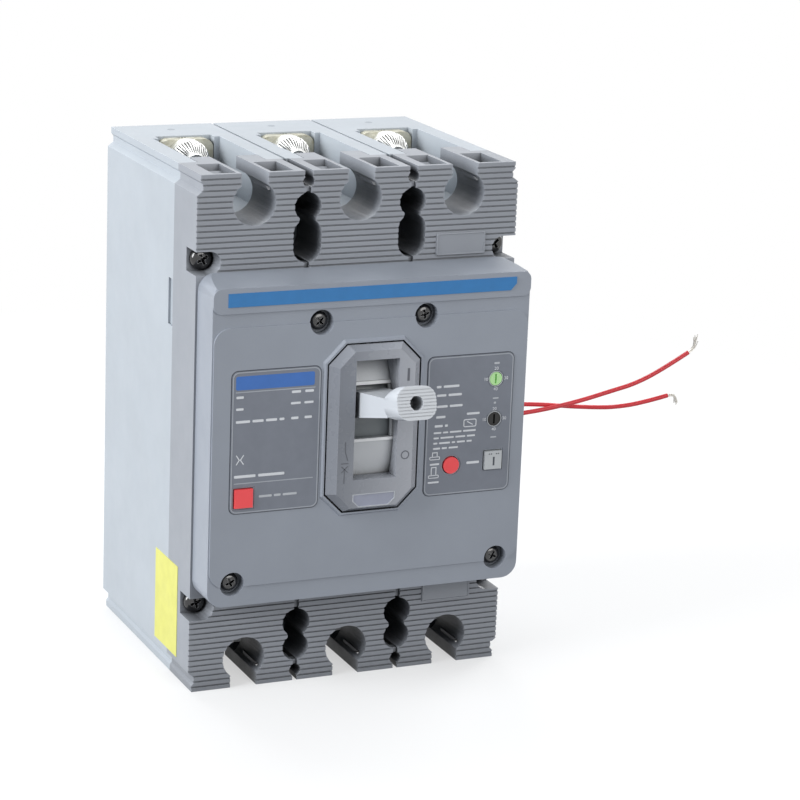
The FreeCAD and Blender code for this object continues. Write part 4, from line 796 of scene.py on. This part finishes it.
def make_terminal_screws():
    """Zinc clamp screws with a ridged conical flange and a hex socket."""
    form = bmesh.new()
    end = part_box("terminal_screws")[1].y / MM
    head, mouth_y, seat, shank = -32.6, -32.5, -26.0, 3.8
    profile = [(SOCKET_RIM, head), (2.85, -33.2), (3.1, -33.4), (3.2, -33.0), (3.4, -32.5),
               (4.6, -31.2), (5.5, -29.9), (6.2, -28.4), (6.5, -27.6), (6.7, -27.4), (6.7, seat),
               (shank, seat), (shank, end), (0, end)]
    for pole in POLES:
        for z in (TERMINAL_Z, -TERMINAL_Z):
            lathe(form, profile, pole, z, RIDGE_POINTS, ridges)
            turns = [math.radians(a) for a in range(15, 375, 60)]
            hexagon = [(pole + SOCKET_RADIUS * math.cos(a), z + SOCKET_RADIUS * math.sin(a))
                       for a in turns]
            mouth = [form.verts.new((x * MM, mouth_y * MM, h * MM)) for x, h in hexagon]
            floor = [form.verts.new((x * MM, SOCKET_FLOOR * MM, h * MM)) for x, h in hexagon]
            form.faces.new(floor)
            for i in range(6):
                form.faces.new((mouth[i - 1], mouth[i], floor[i], floor[i - 1]))
            rim = circle(pole, z, SOCKET_RIM, 24)
            lip = [form.verts.new((x * MM, head * MM, h * MM)) for x, h in rim]
            for i in range(24):
                a, b = mouth[round((i - 1) / 4 - 0.6) % 6], mouth[round(i / 4 - 0.6) % 6]
                form.faces.new(list(dict.fromkeys((lip[i - 1], lip[i], b, a))))
    mesh = mesh_from("ridged_clamp_screws", form, 30)
    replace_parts(piece("ridged_clamp_screws", mesh, "zinc"), "terminal_screws")


# ----------------------------------------------------------------- marks on the front


# How much of a print line's height its dashes fill.
DASH_FILL = 0.72
# Rows of dashes: where each starts (x, z), its height and its dashes' lengths.
RATING_ROWS = (
    (-45.0, 16.6, 1.1, 2.4), (-27.0, 17.2, 1.1, 3.0), (-22.6, 17.2, 1.1, 2.8),
    (-45.0, 12.9, 1.0, 2.4), (-27.2, 13.6, 1.0, 3.2), (-22.8, 13.6, 1.0, 3.0),
    (-45.0, 8.9, 1.1, 4.6, 3.6, 3.6, 1.6), (-27.0, 8.9, 1.1, 2.4), (-22.6, 8.9, 1.1, 2.4),
    (-45.2, -8.4, 1.2, 7.0, 8.6),
)
SETTING_ROWS = (
    (21.6, 15.1, 1.05, 1.6, 5.4), (21.8, 12.3, 1.05, 3.2, 4.6), (22.0, 8.7, 1.05, 3.6, 4.4),
    (21.8, 5.3, 1.05, 3.2), (32.4, 5.7, 1.0, 4.4), (21.4, 2.4, 1.05, 2.8, 1.0),
    (21.2, 0.2, 0.8, 2.6, 1.8, 4.0, 4.4), (21.2, -1.5, 0.8, 1.8, 4.6, 3.4, 2.8),
    (21.2, -3.2, 0.8, 1.4, 3.8, 1.2, 2.8, 1.8), (21.2, -4.9, 0.8, 2.4, 1.8, 3.2),
)
DIAL_ROWS = ((41.2, 21.5, 0.9, 1.8), (41.2, 10.1, 0.6, 2.0), (41.6, 8.6, 0.9, 0.8),
             (41.0, -2.6, 0.6, 2.0))
NUMBER_REACH = 3.5
NUMBER_SIZE = 1.45


def marks(name, look, slot, shapes, front, back, body="case"):
    """Flat shapes on the front as one piece: ("line", points, width, closed) or ("area", outline)."""
    form = bmesh.new()
    for kind, points, *rest in shapes:
        if kind == "line":
            ribbon(form, points, rest[0], front, back, rest[1])
        else:
            plate(form, points, front, back)
    return piece(name, mesh_from(name, form), look, body)


def dashes(x, z, height, *lengths):
    """A row of plain dashes, in place of a line of print."""
    shapes = []
    height *= DASH_FILL
    for length in lengths:
        outline = rounded(x, x + length, z - height / 2, z + height / 2, height * 0.3, 2)
        shapes.append(("area", outline))
        x += length + height
    return shapes


def all_dashes(rows):
    """The dashes of several rows, each given as for dashes()."""
    return [shape for row in rows for shape in dashes(*row)]


def push_mark(x, z, rise):
    """A push button seen from its side: its base, and the cap that stands on it."""
    base = rounded(x - 1.7, x + 1.7, z - 0.55, z + 0.3, 0.25, 2)
    cap = [(x - 0.8, z + 0.35), (x - 0.8, z + rise), (x + 0.8, z + rise), (x + 0.8, z + 0.35)]
    return [("line", base, 0.26, True), ("line", cap, 0.3, False)]


def make_label_prints_and_painted_edges():
    """Painted highlights on the labels' raised edges, painted shadows round them, and rules and plain
    dashes printed on the two label sheets.
    """
    for node, name in (("rating_label", "rating"), ("setting_label", "setting")):
        low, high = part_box(node)
        left, right, foot, head = low.x / MM, high.x / MM, low.z / MM, high.z / MM
        inset, gap, width = 0.35, 0.14, 0.28
        # A pale ring is a painted highlight on each label's raised edge; a dark ring round it is a
        # painted shadow.
        inner = rounded(left + inset, right - inset, foot + inset, head - inset, 1.8)
        marks(f"{name}_label_outline", "frame_line", "label_sheet",
              [("line", inner, width, True)], SHEET - 0.05, SHEET + 0.05)
        outer = rounded(left - gap, right + gap, foot - gap, head + gap, 2.1)
        marks(f"{name}_label_painted_shadow", "dark_line", "label_sheet", [("line", outer, width, True)],
              *ON_LID)
    header = rounded(-45.2, -19.6, 18.9, 23.2, 0.6)
    marks("rating_header_band", "header", "stripe_blue", [("area", header)], *ON_SHEET)
    rules = [("line", [(-45.2, z), (-19.3, z)], 0.3, False) for z in (18.2, -10.6)]
    marks("rating_rules", "frame_line", "label_sheet", rules, *ON_SHEET)

    contact_sign = [("line", [(-44.6, -4.6), (-43.6, -3.1), (-44.6, -1.6)], 0.3, False),
                    ("line", [(-42.2, -4.6), (-43.2, -3.1), (-42.2, -1.6)], 0.3, False)]
    marks("rating_print", "ink", "label_sheet", all_dashes(RATING_ROWS) + contact_sign, *ON_SHEET)
    marks("trip_print", "faint_ink", "label_sheet", dashes(-36.9, -15.2, 1.0, 4.2, 2.2, 4.6),
          *ON_SHEET)

    rows = all_dashes(SETTING_ROWS)
    rows += [("line", rounded(31.5, 35.7, 1.5, 3.8, 0.4, 2), 0.32, True),
             ("line", [(32.6, 3.2), (34.6, 2.1)], 0.28, False)]
    rows += push_mark(21.9, -7.9, 1.7) + dashes(20.3, -10.0, 0.8, 3.2)
    rows += push_mark(21.7, -13.9, 2.9) + dashes(19.8, -15.9, 0.8, 3.8)
    rows += dashes(33.0, -10.4, 1.1, 4.4)
    marks("setting_print", "ink", "label_sheet", rows, *ON_SHEET)


def make_dial_scales():
    """A bright ring and plain numbers round each dial, with dashes above and below."""
    shapes = []
    form = bmesh.new()
    for z in DIAL_HEIGHTS:
        shapes.append(("line", circle(DIAL_X, z, 2.4, 36), 0.22, True))
        for number, angle in (("10", 180), ("20", 90), ("30", 0), ("40", 270)):
            x = DIAL_X + NUMBER_REACH * math.cos(math.radians(angle))
            height = z + NUMBER_REACH * 0.95 * math.sin(math.radians(angle))
            place = Matrix.Translation((x * MM, ON_SHEET[0] * MM, height * MM))
            add_mesh(form, number_mesh(number), place)
    marks("dial_rings", "faint_ink", "label_sheet", shapes + all_dashes(DIAL_ROWS), *ON_SHEET)
    piece("dial_numbers", mesh_from("dial_numbers", form), "ink")


def number_mesh(text):
    """A number as a thin mesh that faces the front, its middle at the origin."""
    curve = bpy.data.curves.new(f"number_{text}", "FONT")
    curve.body = text
    curve.size = NUMBER_SIZE * MM
    curve.align_x = "CENTER"
    curve.align_y = "CENTER"
    curve.extrude = 0.03 * MM
    curve.resolution_u = 3
    holder = bpy.data.objects.new(curve.name, curve)
    bpy.context.scene.collection.objects.link(holder)
    graph = bpy.context.evaluated_depsgraph_get()
    mesh = bpy.data.meshes.new_from_object(holder.evaluated_get(graph))
    bpy.data.objects.remove(holder)
    mesh.transform(Matrix.Rotation(math.radians(90), 4, "X"))
    return mesh


def make_front_marks():
    """On and off marks and the switch sign, painted darker as shade on their relief, and the bare
    rating plate of the escutcheon.
    """
    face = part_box("escutcheon")[0].y / MM
    on_off = [("line", [(10.3, 18.9), (10.3, 22.9)], 0.8, False),
              ("line", circle(10.1, -4.9, 1.25, 30), 0.34, True)]
    sign = [[(-10.1, 0.8), (-10.1, -2.2)], [(-10.1, -2.2), (-9.2, -5.2)],
            [(-11.4, -6.1), (-8.9, -6.1)], [(-11.2, -7.0), (-9.1, -9.0)],
            [(-9.1, -7.0), (-11.2, -9.0)], [(-10.2, -8.4), (-10.2, -12.6)]]
    on_off += [("line", line, 0.32, False) for line in sign]
    marks("switch_marks", "rim_mark", "front_plastic", on_off, face - 0.05, face + 0.1)
    corners = [(-7.0, -16.5), (7.0, -16.5), (7.0, -18.6), (5.0, -20.5), (-5.0, -20.5), (-7.0, -18.6)]
    marks("rating_plate", "plate", "front_plastic", [("area", corners)], face + 0.2, face + 0.4)
    marks("rating_plate_edge", "faint_ink", "front_plastic", [("line", corners, 0.26, True)],
          face - 0.06, face + 0.3)


def make_button_marks():
    """A short upright line, painted shade for a slot, and four dots on the test button, which ride on
    it.
    """
    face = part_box("test_button")[0].y / MM
    shapes = [("line", [(42.2, -9.0), (42.2, -11.8)], 0.62, False)]
    shapes += [("area", circle(x, -8.0, 0.22, 12)) for x in (40.6, 41.3, 43.1, 43.8)]
    marks("test_button_slot", "dark_line", "button_grey", shapes, face - 0.03, face + 0.1,
          "test_button")


def make_collar_line():
    """A dark line at the foot of the raised collar round the escutcheon: a painted shadow."""
    half, head, foot, corner = COLLAR
    ring = [(half - corner, head), (half, head - corner), (half, corner - foot),
            (half - corner, -foot), (corner - half, -foot), (-half, corner - foot),
            (-half, head - corner), (corner - half, head)]
    marks("collar_foot_painted_shadow", "dark_line", "front_plastic", [("line", ring, 0.4, True)], *ON_LID)


# ------------------------------------------------------------------- details of the case


def make_name_plates():
    """Raised bare plates with a rim, one on the right of each terminal face."""
    form = bmesh.new()
    left, right = 25.8, 43.0
    for foot, head in ((53.5, 61.0), (-61.0, -54.5)):
        face, rim = (rounded(left + inset, right - inset, foot + inset, head - inset, 0.3, 2)
                     for inset in (0.2, 0.5))
        plate(form, face, COVER_Y - 0.3, COVER_Y + 0.2)
        ribbon(form, rim, 0.4, COVER_Y - 0.45, COVER_Y - 0.2, True)
    mesh = mesh_from("bare_name_plates", form)
    soften(piece("bare_name_plates", mesh, "cover"), 0.1)


# The arm pockets beside each terminal opening, as depth and height of their slanted floor.
POCKET_DEEP, POCKET_FRONT = -71.0, -82.7
POCKET_TOP, POCKET_FOOT = 80.6, 76.4
POCKET_REACHES = (5.5, 9.5)
# The small patch of painted shade for a hole in each slanted floor: its left edge from the pole's
# middle on either side, its front edge, its width and depth, and how far it stands clear of the floor.
HOLE_LEFT = {1: 6.0, -1: -7.9}
HOLE_EDGE, HOLE_WIDTH, HOLE_DEPTH, HOLE_CLEAR = -78.8, 1.9, 2.0, 0.06
# The slits in the walls between the poles: their places across, and the width, the depth and
# the distance behind the cover's face of the blocks that close them.
SLIT_X = (-17.5, 17.5)
SLIT_WIDTH, SLIT_DEPTH, SLIT_SINK = 2.0, 2.6, 2.6


def make_arm_pockets():
    """Slanted floors in the arm pockets, each with a small patch of painted shade for a hole, and
    blocks in the narrow slits.
    """
    floors, holes = bmesh.new(), bmesh.new()
    slope = (POCKET_TOP - POCKET_FOOT) / (POCKET_DEEP - POCKET_FRONT)
    for pole in POLES:
        for side in (1, -1):
            for end in ENDS:
                wide = [pole + reach * side for reach in POCKET_REACHES]
                ring = [(POCKET_DEEP, POCKET_TOP), (POCKET_DEEP, POCKET_FOOT),
                        (POCKET_FRONT, POCKET_FOOT)]
                sides = [[floors.verts.new((x * MM, y * MM, z * end * MM)) for y, z in ring]
                         for x in wide]
                floors.faces.new(sides[0])
                floors.faces.new(sides[1][::-1])
                for i in range(3):
                    floors.faces.new((sides[0][i - 1], sides[0][i], sides[1][i], sides[1][i - 1]))
                left = pole + HOLE_LEFT[side]
                right, far = left + HOLE_WIDTH, HOLE_EDGE + HOLE_DEPTH
                mouth = [(left, HOLE_EDGE), (right, HOLE_EDGE), (right, far), (left, far)]
                lift = [(x, y, POCKET_FOOT + (y - POCKET_FRONT) * slope + HOLE_CLEAR)
                        for x, y in mouth]
                holes.faces.new([holes.verts.new((x * MM, y * MM, z * end * MM))
                                 for x, y, z in lift])
    bmesh.ops.recalc_face_normals(floors, faces=floors.faces)
    for x in SLIT_X:
        for end in ENDS:
            inner_slit = (50.6, 53.6 if end > 0 else 58.2)
            for low, high in (inner_slit, (75.9, 77.4)):
                block = bmesh.ops.create_cube(floors, size=1.0)["verts"]
                depth = COVER_Y + SLIT_SINK
                middle = Vector((x * MM, depth * MM, (low + high) / 2 * end * MM))
                size = (SLIT_WIDTH, SLIT_DEPTH, high - low)
                for vert in block:
                    vert.co = middle + Vector([c * d * MM for c, d in zip(vert.co, size)])
    mesh = mesh_from("arm_pocket_floors", floors)
    piece("arm_pocket_floors", mesh, "cover")
    mesh = mesh_from("arm_pocket_holes", holes)
    piece("arm_pocket_holes", mesh, "shadow_gap")


GATE_Y = -9.0
GATE_STEPS = 24
# The gate mark's rings, from its middle out: radius and how far each stands off the base.
GATE_RINGS = ((1.0, 0.0), (1.15, 0.05), (1.3, 0.0))
GATE_CLEAR = 0.01


def make_gate_marks():
    """The small round moulding marks on both ends of the base, one to a pole, painted darker than the
    base as painted shade in their dimples.
    """
    form = bmesh.new()
    for pole in POLES:
        for end in ENDS:
            loops = [[form.verts.new((x * MM, y * MM, (CASE_END + GATE_CLEAR + rise) * end * MM))
                      for x, y in circle(pole, GATE_Y, radius, GATE_STEPS)]
                     for radius, rise in GATE_RINGS]
            for first, second in zip(loops, loops[1:]):
                for i in range(GATE_STEPS):
                    form.faces.new((first[i - 1], first[i], second[i], second[i - 1]))
            form.faces.new(loops[0])
    piece("base_gate_marks", mesh_from("base_gate_marks", form, 50), "gate")


# ------------------------------------------------------------------------------ build

make_camera()
make_stage()
dress_cad_nodes()
make_leads()
make_case_screws()
make_terminal_screws()
make_label_prints_and_painted_edges()
make_dial_scales()
make_front_marks()
make_button_marks()
make_collar_line()
make_name_plates()
make_arm_pockets()
make_gate_marks()

bpy.context.scene.view_settings.view_transform = "Standard"
